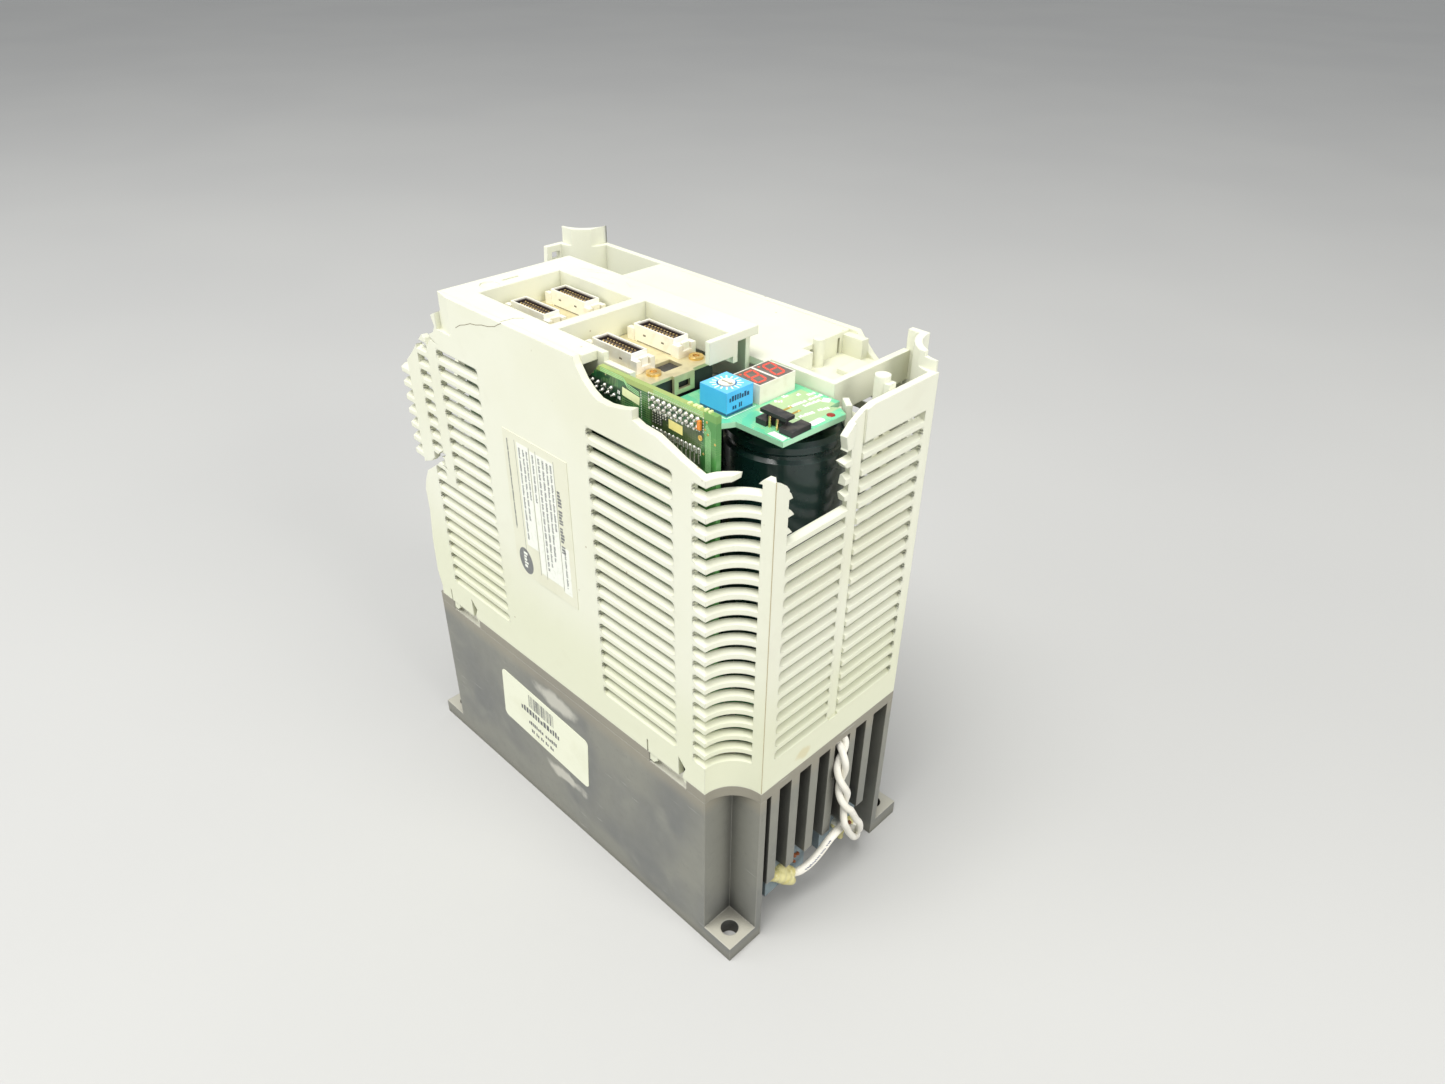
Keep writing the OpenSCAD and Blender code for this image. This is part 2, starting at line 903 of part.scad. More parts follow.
module battery_header() {
  color(black_plastic)
    translate([header_corner[0], header_corner[1], display_board_z]) {
      linear_extrude(header_base_h)
        difference() {
          union() {
            square([12.5, 4.2]);
            translate([9, 0])
              square([3.5, 7.5]);
          }
          translate([3.5, -1])
            square([4.6, 3]);
        }
      box_between([1.6, 2.4, header_base_h - small], [8, 3.6, header_top]);
      box_between([0.7, 0.8, header_top - 1], [9.6, 4.2, header_top]);
    }
}

module header_pins() {
  color(gold)
    for (x = [66.9, 69.5])
      translate([x, -17, display_board_z])
        cylinder(d = 0.8, h = 3.1, $fn = 24);
}

// ---------- terminals ----------

terminal_count = 4;

module terminal_block() {
  bottom = terminal_floor + 2.2;
  color(black_plastic)
    difference() {
      union() {
        box_between([-80, 9.5, bottom], [-44, 30.5, bottom + 8]);
        for (i = [0:terminal_count])
          box_between([-80 + i * 8.6, 9.5, bottom], [-78.4 + i * 8.6, 30.5, bottom + 16]);
      }
      for (i = [0:terminal_count - 1], y = [14.5, 25.5])
        translate([-74.9 + i * 8.6, y, bottom + 2])
          cylinder(d = 3.5, h = 10, $fn = fine);
    }
}

module terminal_screws() {
  color(steel)
    for (i = [0:terminal_count - 1], y = [14.5, 25.5])
      translate([-74.9 + i * 8.6, y, terminal_floor + 10.2])
        pan_screw(6.2, 2.4, 3.5, 6);
}

// ---------- fan ----------

module along_x() {
  translate([fan_end_x, 0, fan_z])
    rotate([0, 90, 0])
      children();
}

module fan_frame() {
  color(black_plastic)
    along_x()
      difference() {
        union() {
          linear_extrude(fan_depth)
            difference() {
              square(fan_side, center = true);
              circle(r = fan_bore_r + 0.6, $fn = 96);
              for (sx = [-1, 1], sy = [-1, 1])
                translate([sx * (fan_side / 2 - 5), sy * (fan_side / 2 - 5)])
                  circle(d = 4.3, $fn = fine);
            }
          translate([0, 0, fan_depth - 3])
            linear_extrude(3)
              for (turn = [45, 135, 225, 315])
                rotate([0, 0, turn])
                  translate([fan_bore_r / 2 + 1, 0])
                    square([fan_bore_r, 3], center = true);
          translate([0, 0, fan_depth - 3])
            cylinder(r = fan_hub_r, h = 3, $fn = fine);
          translate([0, 0, 6])
            cylinder(r = 4, h = fan_depth - 6, $fn = fine);
        }
        translate([0, 0, 5])
          cylinder(r = 2.5, h = fan_depth - 7, $fn = fine);
      }
}

module fan_bearing() {
  color(gold)
    along_x()
      translate([0, 0, 6])
        difference() {
          cylinder(r = 2.5, h = fan_depth - 8, $fn = fine);
          translate([0, 0, -1])
            cylinder(r = shaft_r + running_gap, h = fan_depth, $fn = fine);
        }
}

module fan_rotor() {
  blade_count = 7;
  color(black_plastic)
    along_x() {
      difference() {
        translate([0, 0, 1.5])
          cylinder(r = fan_hub_r - 0.5, h = fan_depth - 5.5, $fn = fine);
        translate([0, 0, 3.5])
          cylinder(r = fan_hub_r - 2.5, h = fan_depth, $fn = fine);
      }
      translate([0, 0, 3])
        cylinder(r = shaft_r, h = fan_depth - 6, $fn = fine);
      intersection() {
        difference() {
          translate([0, 0, 2])
            cylinder(r = fan_bore_r, h = fan_depth - 7, $fn = 96);
          translate([0, 0, 1])
            cylinder(r = fan_hub_r - 1.5, h = fan_depth, $fn = fine);
        }
        for (i = [0:blade_count - 1])
          rotate([0, 0, i * 360 / blade_count])
            translate([fan_bore_r / 2 + 6, 0, fan_depth / 2 - 1.5])
              rotate([35, 0, 0])
                cube([fan_bore_r, 1.6, 26], center = true);
      }
    }
}

// ---------- braking resistors and their leads ----------

resistor_bottom = 10;
resistor_ends = [16, 80];

module brake_resistor(y) {
  color(cement_grey)
    box_between([resistor_ends[0], y - 10, resistor_bottom],
      [resistor_ends[1], y + 10, fin_bottom]);
}

module resistor_glue() {
  color([0.88, 0.85, 0.60]) {
    hull() {
      translate([81.5, -26, 22])
        sphere(r = 1.6, $fn = 24);
      translate([82.5, -18, 15])
        sphere(r = 2.2, $fn = 24);
    }
    hull() {
      translate([82.5, -18, 15])
        sphere(r = 2.2, $fn = 24);
      translate([82, -13.5, 12.5])
        sphere(r = 2.4, $fn = 24);
      translate([82, -14, 17])
        sphere(r = 2.2, $fn = 24);
    }
    hull() {
      translate([80.8, 12, 18])
        sphere(r = 2, $fn = 24);
      translate([80.8, 17, 14])
        sphere(r = 2.4, $fn = 24);
    }
  }
}

lead_sides = 8;
steps_per_span = 4;

function spline_point(a, b, c, d, t) =
  0.5 * (2 * b + (c - a) * t + (2 * a - 5 * b + 4 * c - d) * t * t
    + (3 * b - a - 3 * c + d) * t * t * t);

function smooth_route(p) = [
  for (i = [0:len(p) - 2], k = [0:steps_per_span - 1])
    spline_point(p[max(i - 1, 0)], p[i], p[i + 1], p[min(i + 2, len(p) - 1)],
      k / steps_per_span),
  p[len(p) - 1]
];

function unit(v) = v / norm(v);

function route_direction(p, i) = unit(p[min(i + 1, len(p) - 1)] - p[max(i - 1, 0)]);

function across(v, t) = unit(v - (v * t) * t);

function carried_frames(p, i = 0, last = [0, 1, 0.2]) =
  i >= len(p) ? [] :
    let (u = across(last, route_direction(p, i)))
      concat([u], carried_frames(p, i + 1, u));

module tube_along(route, r) {
  frames = carried_frames(route);
  rings = len(route);
  points = [
    for (i = [0:rings - 1])
      let (u = frames[i], w = cross(route_direction(route, i), u))
        for (k = [0:lead_sides - 1])
          route[i] + r * (cos(360 * k / lead_sides) * u + sin(360 * k / lead_sides) * w)
  ];
  sides = [
    for (i = [0:rings - 2], k = [0:lead_sides - 1])
      let (n = (k + 1) % lead_sides)
        [
          i * lead_sides + n, i * lead_sides + k,
          (i + 1) * lead_sides + k, (i + 1) * lead_sides + n
        ]
  ];
  first_cap = [for (k = [0:lead_sides - 1]) k];
  last_cap = [for (k = [lead_sides - 1:-1:0]) (rings - 1) * lead_sides + k];
  polyhedron(points, concat([first_cap], sides, [last_cap]), convexity = 6);
}

// Middle of the twisted pair, from the power board down past the fins
pair_middle = [
  [78.4, 6.8, power_board_z],
  [78.4, 6.8, 77.5], [78.8, 6.8, 71.5], [80.2, 6.8, 66.4],
  [83.2, 7.1, 63.2], [85.3, 5.2, 59.8], [86.1, 4.1, 55.4],
  [86.8, 4, 50.6], [87.4, 4.4, 45.8], [88.1, 5.2, 41],
  [88.6, 6.4, 36.6]
];
twist_step = 20;
twist_r = lead_d / 2 + 0.06;

function pair_route(phase) =
  let (middle = smooth_route(pair_middle), frames = carried_frames(middle))
    [
      for (i = [0:len(middle) - 1])
        let (
          u = frames[i],
          w = cross(u, route_direction(middle, i)),
          turn = phase + i * twist_step
        )
          middle[i] + twist_r * (cos(turn) * u + sin(turn) * w)
    ];

// One lead of the twisted pair with its own loop joined to its lower end
function lead_route(phase, loop) =
  let (
    pair = pair_route(phase),
    last = len(pair) - 1,
    tail = smooth_route(concat([pair[last - steps_per_span], pair[last]], loop))
  )
    concat(pair, [for (i = [steps_per_span + 1:len(tail) - 1]) tail[i]]);

// Loops at the lower end, ending on the second resistor
loop_a = [
  [89.2, 11.6, 27.7], [89, 14.2, 23.6], [88.3, 16.2, 19.4],
  [86.4, 18.4, 14.1], [83.3, 17.9, 13.2], [79.8, 16.6, 13]
];
loop_b = [
  [89, 5, 31.4], [89, 6.9, 26.7], [88.3, 10.4, 20.3],
  [87, 15.3, 13.4], [84.8, 20.6, 8.8], [82.3, 21.7, 9.6],
  [79.8, 20.8, 11.2]
];
// From the first resistor across to the second
sleeved_route = [
  [79.8, -14.6, 13], [83.2, -12.2, 15.2], [84.6, -10.1, 16.3],
  [85.5, -6.7, 17.8], [86, -3.1, 20], [86.2, 0.8, 22.6],
  [86, 5, 23.5], [85, 9, 21.9], [83, 11.2, 20.4],
  [79.8, 11.8, 18.6]
];

module resistor_lead(phase, loop) {
  color(white_plastic)
    tube_along(lead_route(phase, loop), lead_d / 2);
}

module sleeved_lead() {
  color(white_plastic)
    tube_along(smooth_route(sleeved_route), sleeve_d / 2);
}

// ---------- labels ----------

label_thickness = 0.15;
asset_label_center = [-10.9, 40.8];
asset_label_size = [50, 23.8];
asset_label_tilt = 4;

module nameplate_label() {
  color([0.90, 0.91, 0.84])
    box_between([-15, -half_w - label_thickness, 109], [16.2, -half_w, 161]);
}

module asset_label() {
  color([0.95, 0.95, 0.93])
    translate([asset_label_center[0], -half_w, asset_label_center[1]])
      rotate([90, asset_label_tilt, 0])
        linear_extrude(label_thickness)
          hull()
            for (sx = [-1, 1], sy = [-1, 1])
              translate([sx * (asset_label_size[0] / 2 - 2), sy * (asset_label_size[1] / 2 - 2)])
                circle(r = 2, $fn = 32);
}

heatsink();
heatsink_side(-1);  // heatsink_side_a
heatsink_side(1);  // heatsink_side_b
side_cover();
main_case();
connector_bezel();
front_panel();
bracket_plate(-33.8, 0.8, false);  // bracket_plate_a
bracket_plate(5.2, 36.3, true);  // bracket_plate_b
bracket_screws();
connector_carrier(-33.5, 0.5);  // connector_carrier_a
connector_carrier(5.5, 36);  // connector_carrier_b
connector_shell(0);  // connector_shell_1
connector_shell(1);  // connector_shell_2
connector_shell(2);  // connector_shell_3
connector_shell(3);  // connector_shell_4
connector_insert(0);  // connector_insert_1
connector_insert(1);  // connector_insert_2
connector_insert(2);  // connector_insert_3
connector_insert(3);  // connector_insert_4
connector_contacts(0);  // connector_contacts_1
connector_contacts(1);  // connector_contacts_2
connector_contacts(2);  // connector_contacts_3
connector_contacts(3);  // connector_contacts_4
control_board();
display_board();
board_header();
power_board();
board_standoffs();
board_screws();
power_module();
module_screws();
rectifier();
capacitor(58.5, -0.5, capacitor_h);  // capacitor_a
capacitor(20, -0.5, capacitor_h - capacitor_drop);  // capacitor_b
relay();
transformer();
rotary_switch_body();
rotary_switch_dial();
digit_display_body();
digit_display_face();
battery_header();
header_pins();
terminal_block();
terminal_screws();
fan_frame();
fan_bearing();
fan_rotor();
brake_resistor(-14);  // brake_resistor_a
brake_resistor(14);  // brake_resistor_b
resistor_glue();
resistor_lead(210, loop_a);  // resistor_lead_a
resistor_lead(30, loop_b);  // resistor_lead_b
sleeved_lead();
nameplate_label();
asset_label();
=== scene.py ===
"""Looks of the servo drive: materials for every CAD node, and the fine pieces that the CAD leaves out.

Lengths are millimetres in the row frame until a mesh is built, and every mesh holds its place in
its vertices, so Object coordinates are the row frame in metres for every material.
"""

import json
import math
import random

import bmesh
import bpy
from mathutils import Matrix, Vector


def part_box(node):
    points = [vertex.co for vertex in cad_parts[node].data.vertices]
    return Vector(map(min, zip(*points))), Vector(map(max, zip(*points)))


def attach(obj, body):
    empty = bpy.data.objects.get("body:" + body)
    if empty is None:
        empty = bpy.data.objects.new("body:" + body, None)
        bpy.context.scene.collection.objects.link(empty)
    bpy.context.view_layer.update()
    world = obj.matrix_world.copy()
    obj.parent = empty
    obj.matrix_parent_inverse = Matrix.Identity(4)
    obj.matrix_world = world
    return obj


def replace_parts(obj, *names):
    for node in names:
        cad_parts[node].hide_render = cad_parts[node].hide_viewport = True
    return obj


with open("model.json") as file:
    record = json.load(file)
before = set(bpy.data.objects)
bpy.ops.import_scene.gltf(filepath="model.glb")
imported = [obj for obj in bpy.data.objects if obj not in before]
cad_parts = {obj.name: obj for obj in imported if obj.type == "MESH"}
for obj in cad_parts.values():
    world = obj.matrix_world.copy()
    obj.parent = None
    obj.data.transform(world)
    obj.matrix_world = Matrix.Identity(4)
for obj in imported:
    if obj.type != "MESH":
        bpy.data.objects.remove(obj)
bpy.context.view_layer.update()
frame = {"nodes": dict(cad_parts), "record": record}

MM = 0.001
DRIVE = "drive_unit"
SEED = 7


def node_box(name):
    """Lowest and highest corner of a CAD node, in millimetres."""
    low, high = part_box(name)
    return low / MM, high / MM


# ---------------------------------------------------------------- materials


def shader_color(color):
    """A colour given as a screen shows it, each part 0 to 255, as the shader wants it."""
    def linear(value):
        value /= 255
        return value / 12.92 if value <= 0.04045 else ((value + 0.055) / 1.055) ** 2.4
    return tuple(linear(value) for value in color) + (1.0,)


EDGE_WEAR_HIGHLIGHT_BEND = (0.02, 0.3)
HOLLOW_GRIME_SHADE_OPENNESS = (0.85, 0.25)


class Paint:
    """A Principled material whose colour, roughness and bump are built up layer by layer."""

    def __init__(self, name, color, roughness=0.5, **sockets):
        self.material = bpy.data.materials.new(name)
        self.material.use_nodes = True
        self.tree = self.material.node_tree
        self.shader = self.tree.nodes["Principled BSDF"]
        self.place = self.node("ShaderNodeTexCoord").outputs["Object"]
        self.normal = None
        self.color = shader_color(color)
        self.shader.inputs["Base Color"].default_value = self.color
        self.shader.inputs["Roughness"].default_value = roughness
        for socket, value in sockets.items():
            self.shader.inputs[socket.replace("_", " ")].default_value = value

    def node(self, kind, inputs=None, **settings):
        made = self.tree.nodes.new(kind)
        for key, value in settings.items():
            setattr(made, key, value)
        for key, value in (inputs or {}).items():
            self.put(made.inputs[key], value)
        return made

    def put(self, socket, value):
        if isinstance(value, bpy.types.NodeSocket):
            self.tree.links.new(value, socket)
        else:
            socket.default_value = value

    def stretched(self, stretch):
        """The place, with each axis divided by a stretch factor."""
        if stretch is None:
            return self.place
        scale = tuple(1 / s for s in stretch)
        return self.node("ShaderNodeMapping", {"Vector": self.place, "Scale": scale}).outputs[0]

    def noise(self, size, detail=2.0, stretch=None, distortion=0.0):
        """Soft noise with features about size millimetres across, from 0 to 1."""
        inputs = {"Vector": self.stretched(stretch), "Scale": 1 / (size * MM),
                  "Detail": detail, "Distortion": distortion}
        return self.node("ShaderNodeTexNoise", inputs).outputs[0]

    def cells(self, size, metric="EUCLIDEAN", output="Distance"):
        """Voronoi cells about size millimetres across."""
        inputs = {"Vector": self.place, "Scale": 1 / (size * MM)}
        return self.node("ShaderNodeTexVoronoi", inputs, distance=metric).outputs[output]

    def ramp(self, value, low, high):
        """0 where value is at low, 1 where it is at high, smooth between."""
        inputs = {"Value": value, "From Min": low, "From Max": high}
        made = self.node("ShaderNodeMapRange", inputs, interpolation_type="SMOOTHSTEP")
        return made.outputs[0]

    def math(self, operation, a, b=0.0):
        return self.node("ShaderNodeMath", {0: a, 1: b}, operation=operation).outputs[0]

    def times(self, *factors):
        product = factors[0]
        for factor in factors[1:]:
            product = self.math("MULTIPLY", product, factor)
        return product

    def axis(self, letter):
        return self.node("ShaderNodeSeparateXYZ", {0: self.place}).outputs[letter]

    def between(self, letter, low, high, soft):
        """1 where a coordinate in millimetres is from low to high, with soft edges."""
        value = self.axis(letter)
        rise = self.ramp(value, (low - soft) * MM, (low + soft) * MM)
        fall = self.ramp(value, (high + soft) * MM, (high - soft) * MM)
        return self.times(rise, fall)

    def spot(self, centre, radii, ragged=0.35, size=6.0):
        """A ragged ellipsoid of 1 about a centre, in millimetres, falling to 0."""
        inputs = {"Vector": self.place, "Location": Vector(centre) * -MM}
        moved = self.node("ShaderNodeMapping", inputs).outputs[0]
        scale = tuple(1 / (r * MM) for r in radii)
        shaped = self.node("ShaderNodeMapping", {"Vector": moved, "Scale": scale}).outputs[0]
        length = self.node("ShaderNodeVectorMath", {0: shaped}, operation="LENGTH").outputs[1]
        wobble = self.times(self.math("SUBTRACT", self.noise(size, 3), 0.5), ragged * 4)
        return self.ramp(self.math("ADD", length, wobble), 1.1, 0.5)

    def facing(self, letter):
        normal = self.node("ShaderNodeNewGeometry").outputs["Normal"]
        return self.node("ShaderNodeSeparateXYZ", {0: normal}).outputs[letter]

    def layer(self, mask, color, strength=1.0):
        """Lays a colour over the ones before it, where mask is 1."""
        factor = mask if strength == 1.0 else self.math("MULTIPLY", mask, strength)
        mixed = self.node("ShaderNodeMix", data_type="RGBA")
        self.put(mixed.inputs[0], factor)
        self.put(mixed.inputs[6], self.color)
        self.put(mixed.inputs[7], shader_color(color))
        self.color = mixed.outputs[2]

    def clouds(self, size, detail, low, high, color, strength=1.0, distortion=0.0):
        """Lays a colour over in soft patches about size millimetres across."""
        self.layer(self.ramp(self.noise(size, detail, distortion=distortion), low, high), color, strength)

    def edge_wear_and_highlight(self, radius, color, strength):
        """Lays a colour along edges, convex and hollow alike, where a rounded normal is far from the true
        one: partly wear, partly painted highlight.
        """
        rounded = self.node("ShaderNodeBevel", {"Radius": radius * MM}, samples=4).outputs[0]
        true = self.node("ShaderNodeNewGeometry").outputs["Normal"]
        dot = self.node("ShaderNodeVectorMath", {0: rounded, 1: true}, operation="DOT_PRODUCT")
        bend = self.math("SUBTRACT", 1.0, dot.outputs["Value"])
        self.layer(self.ramp(bend, *EDGE_WEAR_HIGHLIGHT_BEND), color, strength)

    def hollow_grime_and_shade(self, distance, color, strength):
        """Lays a colour in corners and slots, where the surface is hemmed in: dirt or tarnish, and painted
        shade.
        """
        made = self.node("ShaderNodeAmbientOcclusion", {"Distance": distance * MM}, samples=4)
        self.layer(self.ramp(made.outputs["AO"], *HOLLOW_GRIME_SHADE_OPENNESS), color, strength)

    def rounded(self, radius):
        """Makes hard CAD edges catch the light like moulded ones."""
        self.normal = self.node("ShaderNodeBevel", {"Radius": radius * MM}, samples=4).outputs[0]

    def bump(self, height, depth):
        inputs = {"Height": height, "Distance": depth * MM, "Strength": 1.0}
        if self.normal is not None:
            inputs["Normal"] = self.normal
        self.normal = self.node("ShaderNodeBump", inputs).outputs[0]

    def rough(self, value, low, high):
        """Roughness that goes from low to high as value goes from 0 to 1."""
        inputs = {"Value": value, "To Min": low, "To Max": high}
        self.put(self.shader.inputs["Roughness"], self.node("ShaderNodeMapRange", inputs).outputs[0])

    def finish(self, rounding, size, depth, detail=2, stretch=None):
        """Rounds the edges if asked to, adds a fine grain and gives the material back."""
        if rounding:
            self.rounded(rounding)
        self.bump(self.noise(size, detail, stretch), depth)
        return self.done()

    def done(self):
        self.put(self.shader.inputs["Base Color"], self.color)
        if self.normal is not None:
            self.put(self.shader.inputs["Normal"], self.normal)
        return self.material


def casing_paint():
    paint = Paint("casing_abs", (228, 229, 211))
    paint.clouds(55, 3, 0.4, 0.7, (219, 219, 193), 0.55)
    paint.clouds(9, 4, 0.55, 0.75, (222, 222, 203), 0.5, 0.4)
    # Painted shade: the casing's lower part, Z 60 to 104 mm with soft edges, is a darker greenish cream, as
    # the light dims towards the bottom.
    paint.layer(paint.between("Z", 60, 104, 16), (214, 217, 184), 0.55)
    # Painted shade with some dirt: darker yellowish cream in the slots and corners.
    paint.hollow_grime_and_shade(4, (172, 170, 132), 0.25)
    # Paler edges: partly wear, partly painted highlight.
    paint.edge_wear_and_highlight(0.5, (244, 246, 233), 0.5)
    specks = paint.ramp(paint.cells(7), 0.06, 0.035)
    paint.layer(paint.times(specks, paint.ramp(paint.noise(40), 0.5, 0.6)), (150, 130, 90), 0.6)
    paint.layer(paint.spot((82.5, -14, 74), (5, 4, 2.4)), (205, 190, 140), 0.5)
    paint.rough(paint.noise(3, 3), 0.38, 0.56)
    return paint.finish(0.45, 0.5, 0.02, 3)


LATCH_MIDDLES = (-55, 55.5)


def die_cast_paint():
    paint = Paint("die_cast_aluminium", (144, 144, 135), Metallic=0.45)
    paint.clouds(34, 2, 0.4, 0.72, (118, 120, 120), 0.75, 0.5)
    paint.clouds(15, 2, 0.5, 0.85, (160, 160, 149), 0.5, 0.5)
    paint.clouds(2.2, 3, 0.55, 0.75, (126, 126, 120), 0.3)
    paint.layer(paint.between("Z", 62, 74, 3), (160, 154, 138), 0.7)
    paint.layer(paint.between("Z", -5, 3.5, 2), (160, 158, 146), 0.6)
    # Painted highlight: the upward-facing top of the foot, Z 5.2 to 6.8 mm, is painted paler, as if lit from
    # above.
    foot_top_highlight = paint.times(paint.between("Z", 5.2, 6.8, 0.2), paint.ramp(paint.facing("Z"), 0.6, 0.9))
    paint.layer(foot_top_highlight, (206, 203, 188), 0.85)
    wiped = paint.math("ADD", paint.spot((-1, -45, 58.5), (13, 9, 4.2), 0.3),
                       paint.spot((0, -45, 22.5), (11, 9, 3.0), 0.4))
    wiped = paint.math("MINIMUM", wiped, 1.0)
    paint.layer(wiped, (212, 210, 198), 0.8)
    scratches = paint.times(paint.ramp(paint.noise(1.6, 1, (9, 9, 0.6)), 0.68, 0.74),
                            paint.ramp(paint.noise(22), 0.52, 0.62))
    paint.layer(scratches, (205, 205, 198), 0.6)
    # Painted shade: near black deep in the hollows between the fins, which lie in shadow.
    paint.hollow_grime_and_shade(10, (44, 43, 40), 0.8)
    for middle in LATCH_MIDDLES:
        pocket = paint.times(paint.between("X", middle - 8.6, middle + 8.6, 0.1),
                             paint.between("Z", 63.5, 69.9, 0.1),
                             paint.between("Y", -44.85, -42.4, 0.1))
        paint.layer(pocket, (214, 213, 202), 0.9)
    # Paler edges: partly wear, partly painted highlight.
    paint.edge_wear_and_highlight(0.6, (190, 188, 178), 0.6)
    paint.rough(paint.noise(4, 4), 0.42, 0.62)
    return paint.finish(0.5, 0.8, 0.05, 4)


TRACK_PITCH = 0.62


def board_paint(name, base, copper, track):
    """A lacquered circuit board: copper areas, bundles of fine tracks and vias."""
    paint = Paint(name, base, 0.32, Coat_Weight=0.35, Coat_Roughness=0.15)
    paint.layer(paint.ramp(paint.cells(5, "CHEBYCHEV", "Color"), 0.55, 0.57), copper, 0.8)
    bundle = paint.ramp(paint.noise(5, 0), 0.52, 0.54)
    radians_per_metre = 2 * math.pi / (TRACK_PITCH * MM)
    for letter in ("X", "Z"):
        wave = paint.math("SINE", paint.math("MULTIPLY", paint.axis(letter), radians_per_metre))
        paint.layer(paint.times(paint.ramp(wave, 0.1, 0.5), bundle), track, 0.55)
        bundle = paint.math("SUBTRACT", 1.0, paint.ramp(paint.noise(7, 0), 0.4, 0.42))
    paint.layer(paint.ramp(paint.cells(2.4), 0.13, 0.1), (196, 190, 140), 0.8)
    return paint


def control_board_paint():
    paint = board_paint("control_board_lacquer", (24, 70, 40), (36, 104, 56), (126, 160, 96))
    top = node_box("control_board")[1].z
    paint.layer(paint.between("Z", top - 1.9, top + 2, 0.15), (168, 186, 104), 0.85)
    paint.layer(paint.between("X", 66.2, 90, 0.5), (82, 150, 72), 0.75)
    paint.layer(paint.spot((67.5, -40, 180), (2.6, 4, 5), 0.3, 3), (38, 92, 36), 0.85)
    paint.layer(paint.times(paint.between("X", 22, 35.5, 0.6), paint.between("Z", 170, 188.6, 0.5)),
                (20, 48, 30), 0.85)
    paint.layer(paint.times(paint.between("X", 47, 65, 0.4), paint.between("Z", 170, 187, 0.5)),
                (58, 70, 34), 0.75)
    return finish_board(paint)


def finish_board(paint):
    paint.rounded(0.15)
    paint.bump(paint.cells(1.1, "MANHATTAN"), 0.02)
    return paint.done()


def display_board_paint():
    paint = board_paint("display_board_lacquer", (104, 202, 156), (124, 214, 164),
                        (184, 218, 158))
    pour = paint.times(paint.between("X", 57.5, 72.5, 0.25), paint.between("Y", -12.5, 6, 0.25))
    paint.layer(pour, (178, 196, 146), 0.85)
    edge = paint.ramp(paint.math("ABSOLUTE", paint.facing("Z")), 0.6, 0.4)
    paint.layer(edge, (176, 228, 190), 0.95)
    return finish_board(paint)


def power_board_paint():
    paint = board_paint("power_board_lacquer", (40, 110, 62), (52, 136, 78), (120, 170, 96))
    return finish_board(paint)


def moulded_paint(name, color, worn, roughness=0.42, dust=0.3):
    """Glass-filled plastic with dust on top and paler edges."""
    paint = Paint(name, color, roughness)
    paint.clouds(6, 4, 0.45, 0.75, worn, 0.3)
    up = paint.times(paint.ramp(paint.facing("Z"), 0.5, 0.95), paint.ramp(paint.noise(2.5, 4), 0.35, 0.7))
    paint.layer(up, (120, 114, 102), dust)
    # Paler edges: partly wear, partly painted highlight.
    paint.edge_wear_and_highlight(0.3, worn, 0.7)
    paint.rough(paint.noise(1.5, 3), roughness - 0.08, roughness + 0.12)
    return paint.finish(0.2, 0.3, 0.012)


def plated_paint(name, color, tarnish, roughness, metallic):
    """Plated or bare metal with tarnish."""
    paint = Paint(name, color, roughness, Metallic=metallic)
    paint.clouds(4, 4, 0.45, 0.75, tarnish, 0.55, 0.5)
    paint.hollow_grime_and_shade(1.5, tarnish, 0.6)
    # Near-white edges: partly wear, partly painted highlight on the metal.
    paint.edge_wear_and_highlight(0.15, (255, 252, 240), 0.45)
    paint.rough(paint.noise(2, 4), roughness - 0.08, roughness + 0.16)
    return paint.finish(0.15, 0.4, 0.008)


def capacitor_paint():
    paint = Paint("capacitor_sleeve", (16, 42, 38), 0.24, Coat_Weight=0.3, Coat_Roughness=0.1)
    paint.clouds(14, 3, 0.45, 0.7, (14, 36, 36), 0.8)
    # Paler green edges: partly wear, partly painted highlight along the sleeve's rims.
    paint.edge_wear_and_highlight(0.5, (70, 106, 98), 0.4)
    paint.rough(paint.noise(5, 3), 0.2, 0.36)
    paint.bump(paint.noise(7, 2, (1, 1, 5)), 0.35)
    return paint.finish(0, 2.5, 0.08, 2, (3, 3, 1))


def relay_paint():
    paint = Paint("relay_case", (224, 222, 212), 0.35)
    paint.clouds(12, 3, 0.45, 0.7, (206, 202, 186), 0.5)
    # Paler edges: partly wear, partly painted highlight.
    paint.edge_wear_and_highlight(0.4, (246, 246, 240), 0.6)
    return paint.finish(0.4, 0.5, 0.01)


def winding_paint():
    """Transformer: taped winding between two dark bobbin flanges."""
    low, high = node_box("transformer")
    paint = Paint("winding_tape", (206, 168, 62), 0.35)
    paint.layer(paint.ramp(paint.noise(3, 3, (6, 6, 1)), 0.5, 0.7), (176, 132, 44), 0.7)
    flanges = paint.math("SUBTRACT", 1.0, paint.between("Z", low.z + 4, high.z - 4, 0.05))
    paint.layer(flanges, (30, 30, 32))
    return paint.finish(0.3, 0.8, 0.04, 2, (8, 8, 1))


def switch_paint():
    paint = Paint("switch_blue_nylon", (84, 196, 255), 0.34)
    paint.clouds(5, 3, 0.4, 0.7, (70, 180, 250), 0.5)
    # Painted highlight: the upward-facing top of the switch is painted a paler blue.
    paint.layer(paint.ramp(paint.facing("Z"), 0.5, 0.9), (108, 190, 246), 0.7)
    low = node_box("rotary_switch_body")[0]
    # Painted shade: a dark navy band along the foot of the switch, where it stands on the board.
    paint.layer(paint.between("Z", low.z - 1, low.z + 0.8, 0.1), (14, 60, 96), 0.85)
    # Paler edges: partly wear, partly painted highlight.
    paint.edge_wear_and_highlight(0.3, (150, 208, 250), 0.6)
    return paint.finish(0.3, 0.4, 0.01)


